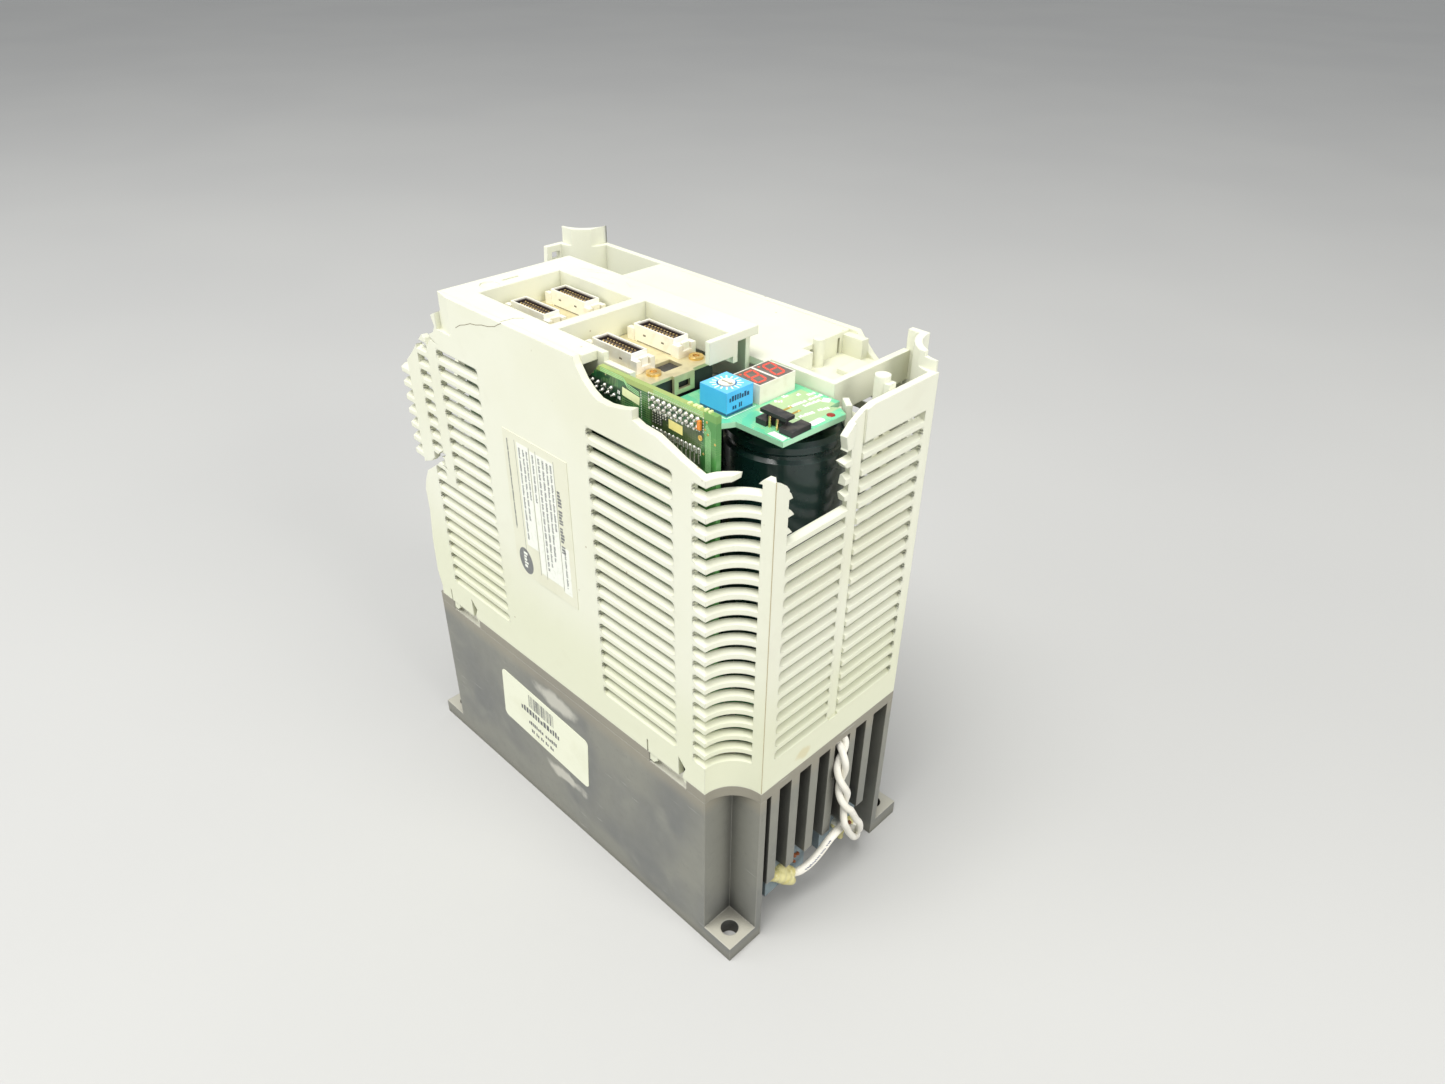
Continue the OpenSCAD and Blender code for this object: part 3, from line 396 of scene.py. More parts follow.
def white_plastic_paint(name, color, shade):
    paint = Paint(name, color, 0.38)
    paint.clouds(4, 3, 0.45, 0.7, shade, 0.5)
    # Painted shade with some dirt: darker in the corners and slots.
    paint.hollow_grime_and_shade(1.5, (150, 144, 122), 0.5)
    return paint.finish(0.2, 0.4, 0.01)


def display_face_paint():
    paint = Paint("display_face_epoxy", (112, 103, 94), 0.3)
    paint.clouds(2.5, 3, 0.4, 0.7, (92, 84, 76), 0.7)
    paint.layer(paint.ramp(paint.cells(0.7), 0.12, 0.05), (150, 140, 128), 0.4)
    return paint.finish(0, 0.3, 0.01)


def cement_paint():
    # The cement's colours are darkened to paint in the shade that the fins cast on the resistors.
    paint = Paint("resistor_cement", (122, 136, 141), 0.85)
    paint.clouds(5, 4, 0.45, 0.7, (104, 116, 122), 0.7)
    paint.layer(paint.ramp(paint.cells(1.2), 0.2, 0.1), (74, 82, 86), 0.6)
    # Paler edges: partly wear, partly painted highlight.
    paint.edge_wear_and_highlight(0.5, (160, 170, 172), 0.5)
    return paint.finish(0.6, 0.9, 0.12, 4)


def glue_paint():
    paint = Paint("silicone_glue", (208, 201, 142), 0.32, Coat_Weight=0.3)
    paint.clouds(3, 4, 0.45, 0.7, (186, 174, 100), 0.7)
    # Painted highlight: small pale flecks stand for glints on the glossy glue.
    paint.clouds(1.1, 3, 0.62, 0.75, (228, 223, 188), 0.6)
    paint.rough(paint.noise(1.5, 3), 0.24, 0.5)
    return paint.finish(0, 0.9, 0.12, 3)


def lead_paint(name, color):
    paint = Paint(name, color, 0.36)
    paint.clouds(7, 3, 0.45, 0.72, (222, 218, 202), 0.6)
    paint.clouds(1.3, 3, 0.66, 0.78, (176, 168, 148), 0.45)
    paint.rough(paint.noise(2, 3), 0.28, 0.46)
    return paint.finish(0, 0.7, 0.02)


def label_paint(name, color, shade, roughness):
    """Printed film or paper: a faint fibre, handling marks and a soft sheen."""
    paint = Paint(name, color, roughness)
    paint.clouds(10, 4, 0.45, 0.75, shade, 0.5)
    paint.clouds(0.7, 2, 0.6, 0.75, shade, 0.35)
    paint.rough(paint.noise(5, 3), roughness - 0.08, roughness + 0.1)
    return paint.finish(0, 0.5, 0.008, 3)


def ink_paint(name, color, worn, roughness=0.5):
    """Print, solder or lacquer in one colour, a little uneven."""
    paint = Paint(name, color, roughness)
    paint.clouds(1.2, 3, 0.5, 0.75, worn, 0.45)
    return paint.finish(0, 0.3, 0.004)


PAINTS = {
    "die_cast": die_cast_paint(),
    "casing": casing_paint(),
    "bracket_metal": plated_paint("bracket_zinc", (220, 210, 170), (192, 180, 138), 0.36, 0.5),
    "brass_parts": plated_paint("brass", (236, 202, 128), (200, 160, 88), 0.28, 0.9),
    "black_plastic": moulded_paint("black_plastic", (34, 34, 36), (82, 82, 82)),
    "connector_metal": plated_paint("tinned_shell", (255, 253, 244), (236, 230, 210), 0.32, 0.35),
    "insert_plastic": moulded_paint("insert_plastic", (48, 38, 37), (92, 78, 74), 0.4, 0.1),
    "gold_contacts": plated_paint("gold_plate", (240, 208, 140), (200, 158, 80), 0.22, 0.95),
    "board_green": power_board_paint(),
    "board_teal": display_board_paint(),
    "screw_steel": plated_paint("zinc_steel", (196, 196, 190), (140, 136, 122), 0.32, 0.95),
    "sleeve": capacitor_paint(),
    "relay_white": relay_paint(),
    "winding": winding_paint(),
    "switch_blue": switch_paint(),
    "dial_white": white_plastic_paint("white_plastic", (238, 235, 222), (222, 216, 196)),
    "display_grey": display_face_paint(),
    "resistor_body": cement_paint(),
    "glue": glue_paint(),
    "lead_white": lead_paint("lead_white", (236, 233, 222)),
    "label_paper": label_paint("sticker_paper", (232, 234, 211), (220, 221, 194), 0.45),
}
NAMEPLATE_FILM = label_paint("nameplate_film", (224, 224, 202), (212, 211, 184), 0.36)
CONTROL_LACQUER = control_board_paint()
INK = ink_paint("label_ink", (92, 94, 96), (140, 140, 136))
NAMEPLATE_INK = ink_paint("nameplate_ink_grey", (116, 118, 117), (158, 160, 154))
PALE_INK = ink_paint("pale_print", (238, 240, 230), (214, 218, 198))
WHITE_PRINT = ink_paint("white_silkscreen", (244, 246, 240), (214, 224, 210))
SOLDER = plated_paint("solder", (232, 230, 224), (170, 166, 150), 0.24, 0.85)
# A pale, barely metallic copy of the contact gold: painted highlight for the glint of the contact tips.
GLINTING_TIP_GOLD = plated_paint("tip_gold_painted_glint", (255, 248, 216), (240, 220, 164), 0.3, 0.2)
GOLD_PAD = plated_paint("gold_pad", (232, 196, 104), (206, 164, 70), 0.3, 0.9)
RED_SEGMENT = ink_paint("red_segment", (236, 86, 66), (214, 60, 48), 0.32)
RED_VARNISH = ink_paint("red_varnish", (150, 50, 35), (112, 36, 26), 0.25)
YELLOW_PRINT = ink_paint("yellow_patch", (238, 226, 142), (214, 196, 96))
CREAM_PATCH = ink_paint("cream_patch", (226, 232, 180), (206, 212, 150))
SWITCH_INK = ink_paint("switch_ink", (24, 62, 104), (40, 90, 140))
RAW_LAMINATE = ink_paint("raw_laminate", (216, 226, 160), (186, 200, 120), 0.7)
MOULDED_STROKE = ink_paint("moulded_stroke", (206, 206, 192), (222, 222, 208))
ORANGE_PART = ink_paint("orange_part", (226, 138, 48), (186, 98, 30))
MINT_TRACK = ink_paint("mint_track", (160, 214, 150), (120, 186, 116), 0.35)
DARK_SEAM = ink_paint("dark_seam", (120, 108, 78), (86, 76, 52), 0.8)
SHELL_SHADE = ink_paint("shell_shade", (112, 104, 88), (142, 134, 116), 0.5)
PALE_SEAM = ink_paint("corner_seam_line", (178, 162, 120), (150, 134, 92), 0.8)
BROWN_BIT = ink_paint("burnt_flux", (128, 70, 32), (80, 40, 20), 0.4)
BLUE_INK = ink_paint("lead_print", (88, 96, 120), (130, 134, 146))

NODE_PAINTS = {"control_board": CONTROL_LACQUER, "nameplate_label": NAMEPLATE_FILM}
for subpart in frame["record"]["subparts"]:
    mesh = frame["nodes"][subpart["node"]].data
    mesh.materials.clear()
    mesh.materials.append(NODE_PAINTS.get(subpart["node"], PAINTS[subpart["material_slot"]]))


# ---------------------------------------------------------------- mesh building


def in_scene(name, data):
    made = bpy.data.objects.new(name, data)
    bpy.context.scene.collection.objects.link(made)
    return made


class Shapes:
    """Solids gathered into one mesh, in millimetres of the row frame."""

    def __init__(self):
        self.points = []
        self.faces = []

    def add(self, points, faces):
        first = len(self.points)
        self.points += [Vector(p) for p in points]
        self.faces += [[first + i for i in face] for face in faces]

    def box(self, low, high):
        x0, y0, z0 = low
        x1, y1, z1 = high
        points = [(x, y, z) for z in (z0, z1) for x, y in ((x0, y0), (x1, y0), (x1, y1), (x0, y1))]
        self.add(points, [(3, 2, 1, 0), (4, 5, 6, 7), (0, 1, 5, 4), (1, 2, 6, 5), (2, 3, 7, 6), (3, 0, 4, 7)])

    def prism(self, outline, lift):
        """A flat outline, counter-clockwise seen from the side that lift points to."""
        count = len(outline)
        base = [Vector(p) for p in outline]
        points = base + [p + Vector(lift) for p in base]
        sides = [(i, (i + 1) % count, count + (i + 1) % count, count + i) for i in range(count)]
        self.add(points, sides + [list(range(count))[::-1], [count + i for i in range(count)]])

    def rings(self, rings, sides):
        """A closed body through rings of points: each is (centre, two axes, radius)."""
        turns = [2 * math.pi * i / sides for i in range(sides)]
        points = [centre + (across * math.cos(turn) + other * math.sin(turn)) * radius
                  for centre, across, other, radius in rings for turn in turns]
        last = (len(rings) - 1) * sides
        faces = [list(range(sides))[::-1]]
        for a in range(0, last, sides):
            b = a + sides
            faces += [(a + i, a + (i + 1) % sides, b + (i + 1) % sides, b + i) for i in range(sides)]
        self.add(points, faces + [[last + i for i in range(sides)]])

    def turned(self, start, end, profile, sides=20):
        """A body of revolution about the line from start to end: profile is (share of length, radius)."""
        start, end = Vector(start), Vector(end)
        along = end - start
        across = along.orthogonal().normalized()
        other = along.normalized().cross(across)
        self.rings([(start + along * share, across, other, radius) for share, radius in profile], sides)

    def rod(self, start, end, radius, sides=16):
        self.turned(start, end, [(0, radius), (1, radius)], sides)

    def dome(self, base, normal, radius, height, sides=14):
        """A solder-like bump standing on base."""
        steps = [0, 0.25, 0.5, 0.75, 0.93]
        profile = [(s, radius * math.sqrt(1 - s * s)) for s in steps]
        self.turned(base, Vector(base) + Vector(normal).normalized() * height, profile, sides)

    def tube(self, route, radius, sides=20):
        """A round tube along a route, with frames carried from ring to ring."""
        route = [Vector(p) for p in route]
        side = Vector((0, 1, 0.2))
        rings = []
        for i, point in enumerate(route):
            ahead = (route[min(i + 1, len(route) - 1)] - route[max(i - 1, 0)]).normalized()
            side = (side - ahead * side.dot(ahead)).normalized()
            rings.append((point, side, ahead.cross(side), radius))
        self.rings(rings, sides)

    def ribbon(self, route, normal, width, height):
        """A flat strip of a given width along a route on a face, standing height proud of it."""
        normal = Vector(normal).normalized()
        for a, b in zip(route, route[1:]):
            a, b = Vector(a), Vector(b)
            ahead = (b - a).normalized()
            across = normal.cross(ahead) * (width / 2)
            reach = ahead * (width / 2)
            corners = [a - reach + across, a - reach - across, b + reach - across, b + reach + across]
            self.prism(corners, normal * height)

    def build(self, name, material, slot, bevel=0.0, smooth=35):
        mesh = bpy.data.meshes.new(name)
        mesh.from_pydata([tuple(p * MM) for p in self.points], [], self.faces)
        mesh.materials.append(material)
        work = bmesh.new()
        work.from_mesh(mesh)
        bmesh.ops.recalc_face_normals(work, faces=work.faces)
        work.to_mesh(mesh)
        work.free()
        mesh.shade_smooth()
        mesh.set_sharp_from_angle(angle=math.radians(smooth))
        piece = in_scene(name, mesh)
        if bevel:
            rounding = piece.modifiers.new("rounding", "BEVEL")
            rounding.width = bevel * MM
            rounding.segments = 2
            rounding.limit_method = "ANGLE"
            rounding.harden_normals = True
        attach(piece, DRIVE)
        return piece


def catmull(points, steps):
    """A smooth line through the points, with the same blend as the CAD tubes."""
    points = [Vector(p) for p in points]
    last = len(points) - 1
    line = []
    for i in range(last):
        a, b, c, d = points[max(i - 1, 0)], points[i], points[i + 1], points[min(i + 2, last)]
        for k in range(steps):
            t = k / steps
            line.append(0.5 * (2 * b + (c - a) * t + (2 * a - 5 * b + 4 * c - d) * t ** 2
                               + (3 * b - a - 3 * c + d) * t ** 3))
    return line + [points[-1]]


class Face:
    """A flat face of the object: (u, v) in millimetres along it, and which way is out."""

    def __init__(self, origin, right, up):
        self.origin, self.right, self.up = Vector(origin), Vector(right), Vector(up)
        self.out = self.right.cross(self.up)

    def at(self, u, v, lift=0.0):
        return self.origin + self.right * u + self.up * v + self.out * lift

    def patch(self, shapes, outline, height):
        """A raised patch; its outline runs counter-clockwise seen from outside."""
        shapes.prism([self.at(u, v, -SINK) for u, v in outline], self.out * (height + SINK))

    def bar(self, shapes, u0, v0, u1, v1, height):
        self.patch(shapes, [(u0, v0), (u1, v0), (u1, v1), (u0, v1)], height)

    def disc(self, shapes, u, v, radius, height, sides=20):
        self.patch(shapes, [(u + radius * math.cos(2 * math.pi * i / sides),
                             v + radius * math.sin(2 * math.pi * i / sides)) for i in range(sides)], height)

    def stroke(self, shapes, route, width, height):
        shapes.ribbon([self.at(u, v, -SINK) for u, v in route], self.out, width, height + SINK)

    def marks(self, shapes, start, end, size, height, seed, word=6):
        """A row of plain blocks that stands for a line of print, size tall, from start to end."""
        rng = random.Random(seed)
        start, end = Vector(start), Vector(end)
        along = (end - start).normalized()
        across = Vector((-along.y, along.x))
        reach = 0.0
        count = 0
        while reach < (end - start).length - size * 0.4:
            wide = size * rng.uniform(0.3, 0.52)
            tall = size * rng.choice((0.72, 1.0, 1.0))
            a = start + along * reach - across * (size / 2)
            corners = [a, a + along * wide, a + along * wide + across * tall, a + across * tall]
            self.patch(shapes, [tuple(c) for c in corners], height)
            count += 1
            reach += wide + size * (0.75 if count % word == 0 else 0.2)


def front_face(y):
    return Face((0, y, 0), (1, 0, 0), (0, 0, 1))


def end_face(x):
    return Face((x, 0, 0), (0, 1, 0), (0, 0, 1))


def top_face(z, x=0, y=0):
    return Face((x, y, z), (1, 0, 0), (0, 1, 0))


# How far a raised mark starts inside a face, and how far it stands proud of it
SINK = 0.02
PRINT = 0.03

control_low, control_high = node_box("control_board")
display_low, display_high = node_box("display_board")
case_low, case_high = node_box("main_case")
COVER_FACE = front_face(node_box("side_cover")[0].y)
CONTROL_FACE = front_face(control_low.y)
DISPLAY_FACE = top_face(display_high.z)


# ---------------------------------------------------------------- leads and glue

LEAD_RADIUS = 1.25
SLEEVE_RADIUS = 1.45
STEPS_PER_SPAN = 4
FINE_STEPS = 3
TWIST_STEP = 20
TWIST_RADIUS = LEAD_RADIUS + 0.06
PAIR_MIDDLE = [
    (78.4, 6.8, 84), (78.4, 6.8, 77.5), (78.8, 6.8, 71.5), (80.2, 6.8, 66.4), (83.2, 7.1, 63.2),
    (85.3, 5.2, 59.8), (86.1, 4.1, 55.4), (86.8, 4.0, 50.6), (87.4, 4.4, 45.8), (88.1, 5.2, 41),
    (88.6, 6.4, 36.6),
]
LEADS = {
    "resistor_lead_a": (210, [
        (89.2, 11.6, 27.7), (89, 14.2, 23.6), (88.3, 16.2, 19.4), (86.4, 18.4, 14.1),
        (83.3, 17.9, 13.2), (79.8, 16.6, 13),
    ]),
    "resistor_lead_b": (30, [
        (89, 5, 31.4), (89, 6.9, 26.7), (88.3, 10.4, 20.3), (87, 15.3, 13.4), (84.8, 20.6, 8.8),
        (82.3, 21.7, 9.6), (79.8, 20.8, 11.2),
    ]),
}
SLEEVED_ROUTE = [
    (79.8, -14.6, 13), (83.2, -12.2, 15.2), (84.6, -10.1, 16.3), (85.5, -6.7, 17.8), (86, -3.1, 20),
    (86.2, 0.8, 22.6), (86, 5, 23.5), (85, 9, 21.9), (83, 11.2, 20.4), (79.8, 11.8, 18.6),
]
GLUE_BLOBS = {
    "glue_near": [
        (80.8, -25.6, 22.6, 1.5), (81.2, -23.6, 21.6, 1.9), (81.6, -21.4, 20.2, 2.2), (82, -19.2, 18.4, 2.5),
        (82.3, -17.2, 16.4, 2.7), (82.7, -15.4, 14.4, 2.4), (83, -14.2, 12.6, 1.8), (82.2, -14.2, 16.2, 2.2),
        (80.8, -18, 19, 2.6), (80.6, -15.5, 17, 2.6),
    ],
    "glue_far": [
        (80.8, 12, 18, 2), (80.8, 17, 14, 2.4), (81.5, 19.5, 11, 1.8), (82, 14, 10.6, 1.2),
        (80.8, 14.6, 12, 2), (80.6, 20.6, 12.5, 1.8),
    ],
}


def pair_line(phase):
    """One of the two twisted leads, winding round their middle line as in the CAD."""
    middle = catmull(PAIR_MIDDLE, STEPS_PER_SPAN)
    side = Vector((0, 1, 0.2))
    line = []
    for i, point in enumerate(middle):
        ahead = (middle[min(i + 1, len(middle) - 1)] - middle[max(i - 1, 0)]).normalized()
        side = (side - ahead * side.dot(ahead)).normalized()
        turn = math.radians(phase + TWIST_STEP * i)
        line.append(point + (side * math.cos(turn) + side.cross(ahead) * math.sin(turn)) * TWIST_RADIUS)
    return line


def make_lead(name, phase, loop):
    pair = pair_line(phase)
    tail = catmull([pair[-1 - STEPS_PER_SPAN], pair[-1]] + loop, STEPS_PER_SPAN)
    shapes = Shapes()
    shapes.tube(catmull(pair + tail[STEPS_PER_SPAN + 1:], FINE_STEPS), LEAD_RADIUS)
    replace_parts(shapes.build(name + "_wire", PAINTS["lead_white"], "lead_white"), name)


def make_sleeved_lead():
    """The sleeved link between the two resistors, with small marks printed along it."""
    line = catmull(SLEEVED_ROUTE, STEPS_PER_SPAN * FINE_STEPS)
    shapes = Shapes()
    shapes.tube(line, SLEEVE_RADIUS)
    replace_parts(shapes.build("sleeved_link", PAINTS["lead_white"], "lead_white"), "sleeved_lead")
    marks = Shapes()
    outward = Vector((0.66, -0.6, 0.45)).normalized()
    for first in (26, 33, 40, 48, 56):
        ahead = (line[first + 1] - line[first]).normalized()
        out = (outward - ahead * outward.dot(ahead)).normalized()
        across = ahead.cross(out)
        for step in (0.0, 0.9, 1.7):
            base = line[first] + out * (SLEEVE_RADIUS - 0.06) + ahead * step
            marks.ribbon([base, base + ahead * 0.45 + across * 0.25], out, 0.3, 0.08)
    marks.build("sleeve_marks", BLUE_INK, "lead_white")


def make_glue(name, blobs):
    """Soft blobs of glue melted into one."""
    shapes = Shapes()
    for x, y, z, radius in blobs:
        ball = bmesh.new()
        bmesh.ops.create_icosphere(ball, subdivisions=3, radius=radius)
        points = [v.co + Vector((x, y, z)) for v in ball.verts]
        shapes.add(points, [[v.index for v in face.verts] for face in ball.faces])
        ball.free()
    piece = shapes.build(name, PAINTS["glue"], "glue", smooth=180)
    melt = piece.modifiers.new("melt", "REMESH")
    melt.mode = "VOXEL"
    melt.voxel_size = 0.35 * MM
    melt.use_smooth_shade = True
    soften = piece.modifiers.new("soften", "SMOOTH")
    soften.iterations = 4
    return piece


def make_resistor_ends():
    """The loose wire end with a red tip, and burnt flux beside the glue."""
    wire = Shapes()
    wire.tube(catmull([(79.4, 4.2, 20.5), (80.6, 5.1, 24), (81, 6.1, 27.4)], 6), 0.6, 12)
    wire.build("stray_wire", YELLOW_PRINT, "glue")
    tip = Shapes()
    tip.tube(catmull([(81, 6.1, 27.3), (81, 6.4, 29), (80.8, 6.5, 30.6)], 4), 0.75, 12)
    tip.build("stray_wire_tip", RED_VARNISH, "glue")
    flux = Shapes()
    for x, y, z, radius in [(81.6, -12.4, 20.6, 0.8), (81.4, -10.6, 20.2, 0.9), (81.2, -8.6, 19.4, 0.7),
                            (82, -11.4, 18.6, 0.6), (83.6, 17.4, 15.9, 0.8), (83.4, 16.2, 16.6, 0.6)]:
        flux.dome((x - radius, y, z), (1, 0.1, 0.3), radius, radius * 1.4)
    flux.build("burnt_flux", BROWN_BIT, "resistor_body")


# ---------------------------------------------------------------- control board

BUMP_ROWS = [(187.7, [24.3, 26.6, 29.3, 31.9]), (186.0, [25.8, 28.3, 30.5, 32.9])]
PIN_COLUMNS = [48.3 + 2.0 * i for i in range(9)]
PIN_ROWS = (190.2, 188.1)
PAD_COLUMNS = [47.8 + 1.51 * i for i in range(12)]
CHECKER_PITCH = (0.95, 0.72)


def make_control_solder():
    """Solder joints of the two connectors behind the control board."""
    board = CONTROL_FACE
    joints = Shapes()
    for z, columns in BUMP_ROWS:
        for x in columns:
            joints.dome(board.at(x, z), board.out, 0.55, 0.7)
            joints.rod(board.at(x, z, 0.4), board.at(x, z, 1.3), 0.2, 8)
    for z in PIN_ROWS:
        for x in PIN_COLUMNS:
            joints.dome(board.at(x - 0.15, z), board.out, 0.72, 0.75)
            joints.rod(board.at(x - 0.15, z, 0.4), board.at(x - 0.15, z, 1.5), 0.34, 10)
    for x in PAD_COLUMNS:
        board.bar(joints, x - 0.36, 180.9, x + 0.36, 182.3, 0.12)
        joints.dome(board.at(x, 182.2), board.out, 0.42, 0.4)
        board.bar(joints, x - 0.2, 178, x + 0.2, 180.5, 0.05)
    joints.build("control_solder", SOLDER, "gold_contacts")


def make_control_chips():
    """Rows of small parts and pads between the connector joints."""
    board = CONTROL_FACE
    pads, bodies = Shapes(), Shapes()
    for row in range(5):
        for column in range(6):
            u = 47.7 + CHECKER_PITCH[0] * column
            v = 183.6 + CHECKER_PITCH[1] * row
            if column > 3 and row < 3:
                continue
            board.bar(pads, u, v, u + 0.55, v + 0.36, 0.1)
            board.bar(bodies, u + 0.5, v - 0.02, u + 0.85, v + 0.4, 0.22)
    pads.build("control_pads", SOLDER, "gold_contacts")
    board.bar(bodies, 44.5, 176, 46, 181.5, 0.5)
    bodies.build("control_chips", PAINTS["black_plastic"], "black_plastic", bevel=0.03)
    part = Shapes()
    board.bar(part, 64.4, 187.7, 65.5, 190.2, 0.7)
    part.build("control_orange_part", ORANGE_PART, "board_green", bevel=0.08)


# Start (X, Z), size of a dash, step to the next one and how many, for each dashed line
DASHED_LINES = [
    (43.4, 182.3, 0.2, 0.45, 0, 0.78, 11), (46.4, 191.2, 0.45, 0.26, 0.78, 0, 24),
    (46.4, 187.0, 0.45, 0.14, 0.78, 0, 24), (46.3, 187.1, 0.15, 0.45, 0, 0.75, 6),
    (65.9, 187.1, 0.15, 0.45, 0, 0.75, 6),
]
CONTROL_TAGS = [
    ("control_tag", CREAM_PATCH, [(36.1, 187.1), (42.7, 186.3), (43.0, 188.6), (36.3, 189.4)]),
    ("control_tag_yellow", YELLOW_PRINT, [(53.7, 184.0), (58.7, 183.7), (58.7, 186.2), (53.7, 186.5)]),
]


def make_control_prints():
    """Silkscreen, blank connector tags, tracks and test points of the control board."""
    board = CONTROL_FACE
    white = Shapes()
    board.marks(white, (34.3, 187.4), (35.7, 187.2), 1.0, PRINT, 3, 9)
    board.marks(white, (34.3, 185.9), (35.7, 185.7), 1.0, PRINT, 4, 9)
    for u, v, wide, tall, step_u, step_v, count in DASHED_LINES:
        for i in range(count):
            left, bottom = u + step_u * i, v + step_v * i
            board.bar(white, left, bottom, left + wide, bottom + tall, PRINT)
    for x in PAD_COLUMNS:
        board.bar(white, x + 0.55, 180.6, x + 0.68, 182.4, PRINT)
    white.build("control_silkscreen", WHITE_PRINT, "board_green")
    for name, paint, outline in CONTROL_TAGS:
        tag = Shapes()
        board.patch(tag, outline, PRINT)
        tag.build(name, paint, "board_green")
    tracks = Shapes()
    for i, shift in enumerate((0, 0.45, 0.9)):
        top = control_high.z - 0.8 - shift
        route = [(27.6, top), (36.6 + shift / 2, top), (38.4, top - 1.4), (42.6, top - 2.1)]
        board.stroke(tracks, route, 0.2, PRINT)
    for i in range(7):
        x = 66.8 + 0.28 * i
        route = [(x, 177), (x, 186.4 + 0.3 * i), (66.2 + 0.16 * i, 188 + 0.3 * i)]
        board.stroke(tracks, route, 0.12, PRINT)
    for i in range(4):
        z = control_high.z - 0.35 - 0.42 * i
        board.stroke(tracks, [(48.4, z), (65.8, z)], 0.16, PRINT)
    tracks.build("control_tracks", MINT_TRACK, "board_green")
    gold = Shapes()
    for u, v in ((66.6, 188.2), (67.6, 187.2), (70.0, 185.4), (67.2, 190.4), (66.0, 181.4)):
        board.disc(gold, u, v, 0.34, PRINT, 12)
    gold.turned(board.at(65.0, 185.4, -SINK), board.at(65.0, 185.4, 0.12),
                [(0, 0.75), (1, 0.75), (1, 0.45), (0.2, 0.4)])
    gold.build("control_test_points", GOLD_PAD, "gold_contacts")


def make_board_tabs():
    """Ragged stubs where the boards were broken from their frames."""
    rng = random.Random(SEED)
    stubs = Shapes()
    thick = control_high.y - control_low.y
    for x in (60.2, 62.1, 63.6, 66.0, 67.4):
        wide = rng.uniform(0.7, 1.3)
        tall = rng.uniform(0.3, 0.8)
        top = control_high.z
        stubs.box((x, control_low.y + 0.2, top - 0.3), (x + wide, control_low.y + thick - 0.2, top + tall))
    for x in (65.1, 66.4, 68.0):
        wide = rng.uniform(0.7, 1.0)
        deep = rng.uniform(0.5, 1.1)
        stubs.box((x, display_low.y - deep, display_low.z + 0.3),
                  (x + wide, display_low.y + 0.4, display_high.z - 0.1))
    stubs.build("board_tabs", RAW_LAMINATE, "board_green", bevel=0.1)


# ---------------------------------------------------------------- display board

SILK_ROWS = [
    ((57.6, -4.9), (59.3, -3.2)), ((57.4, -1.4), (57.5, 0.6)), ((59.2, 2.3), (59.3, 4.3)),
    ((62.7, -4.7), (63.8, 8.2)), ((65.0, -1.3), (65.6, 4.7)), ((68.4, -7.2), (69.3, -2.2)),
    ((69.2, -0.6), (70.5, 2.8)), ((61.2, 4.6), (61.6, 7.4)), ((59.4, -12.6), (60.4, -9.8)),
]


def make_display_prints():
    """White silkscreen and patches of the display board."""
    board = DISPLAY_FACE
    white = Shapes()
    board.stroke(white, [(45, -21.8), (56, -21.8), (56, -10.6)], 0.22, PRINT)
    for i, (start, end) in enumerate(SILK_ROWS):
        board.marks(white, start, end, 1.25, PRINT, 20 + i, 9)
    board.stroke(white, [(61.6, -14.2), (61.6, -12.8), (62.6, -12.8)], 0.18, PRINT)
    board.stroke(white, [(74.4, -11), (74.4, -20.6)], 0.18, PRINT)
    board.stroke(white, [(66.6, -8.4), (68.8, -8.4)], 0.18, PRINT)
    board.patch(white, [(65.4, 6.4), (66.4, 4.2), (68.4, 5.2), (67.4, 7.4)], PRINT)
    board.patch(white, [(69.0, -20.2), (74.2, -20.4), (74.6, -18.4), (69.4, -18.0)], PRINT)
    board.patch(white, [(72.4, -8.2), (72.9, -8.7), (74.0, -8.7), (74.5, -8.2), (74.5, -3.8),
                        (74.0, -3.4), (72.9, -3.4), (72.4, -3.8)], PRINT)
    white.build("display_silkscreen", WHITE_PRINT, "board_teal")
    gold = Shapes()
    for u, v in ((63.05, -5.2), (66.05, -5.2)):
        board.bar(gold, u - 0.4, v - 2.4, u + 0.4, v + 1.2, 0.06)
        gold.dome(board.at(u, v + 0.6), (0, 0, 1), 0.36, 0.3)
    gold.build("display_pads", GOLD_PAD, "gold_contacts")
    dot = Shapes()
    dot.dome(board.at(73.5, -0.3), (0, 0, 1), 1.2, 0.35, 20)
    dot.build("display_varnish_dot", RED_VARNISH, "board_teal")


DIGIT_HIGH = 7.7
DIGIT_WIDE = 4.4
DIGIT_STROKE = 0.85
DIGIT_SLANT = 1.85
DIGIT_STARTS = ((47.3, -4.95), (47.3, 2.45))
SEGMENT_GAP = 0.1


def digit_point(start, right, up):
    """A digit's own right and up, as (X, Y): digits stand along +X and lean towards -Y."""
    return (start[0] + up, start[1] + DIGIT_WIDE / 2 - right - DIGIT_SLANT * up / DIGIT_HIGH)


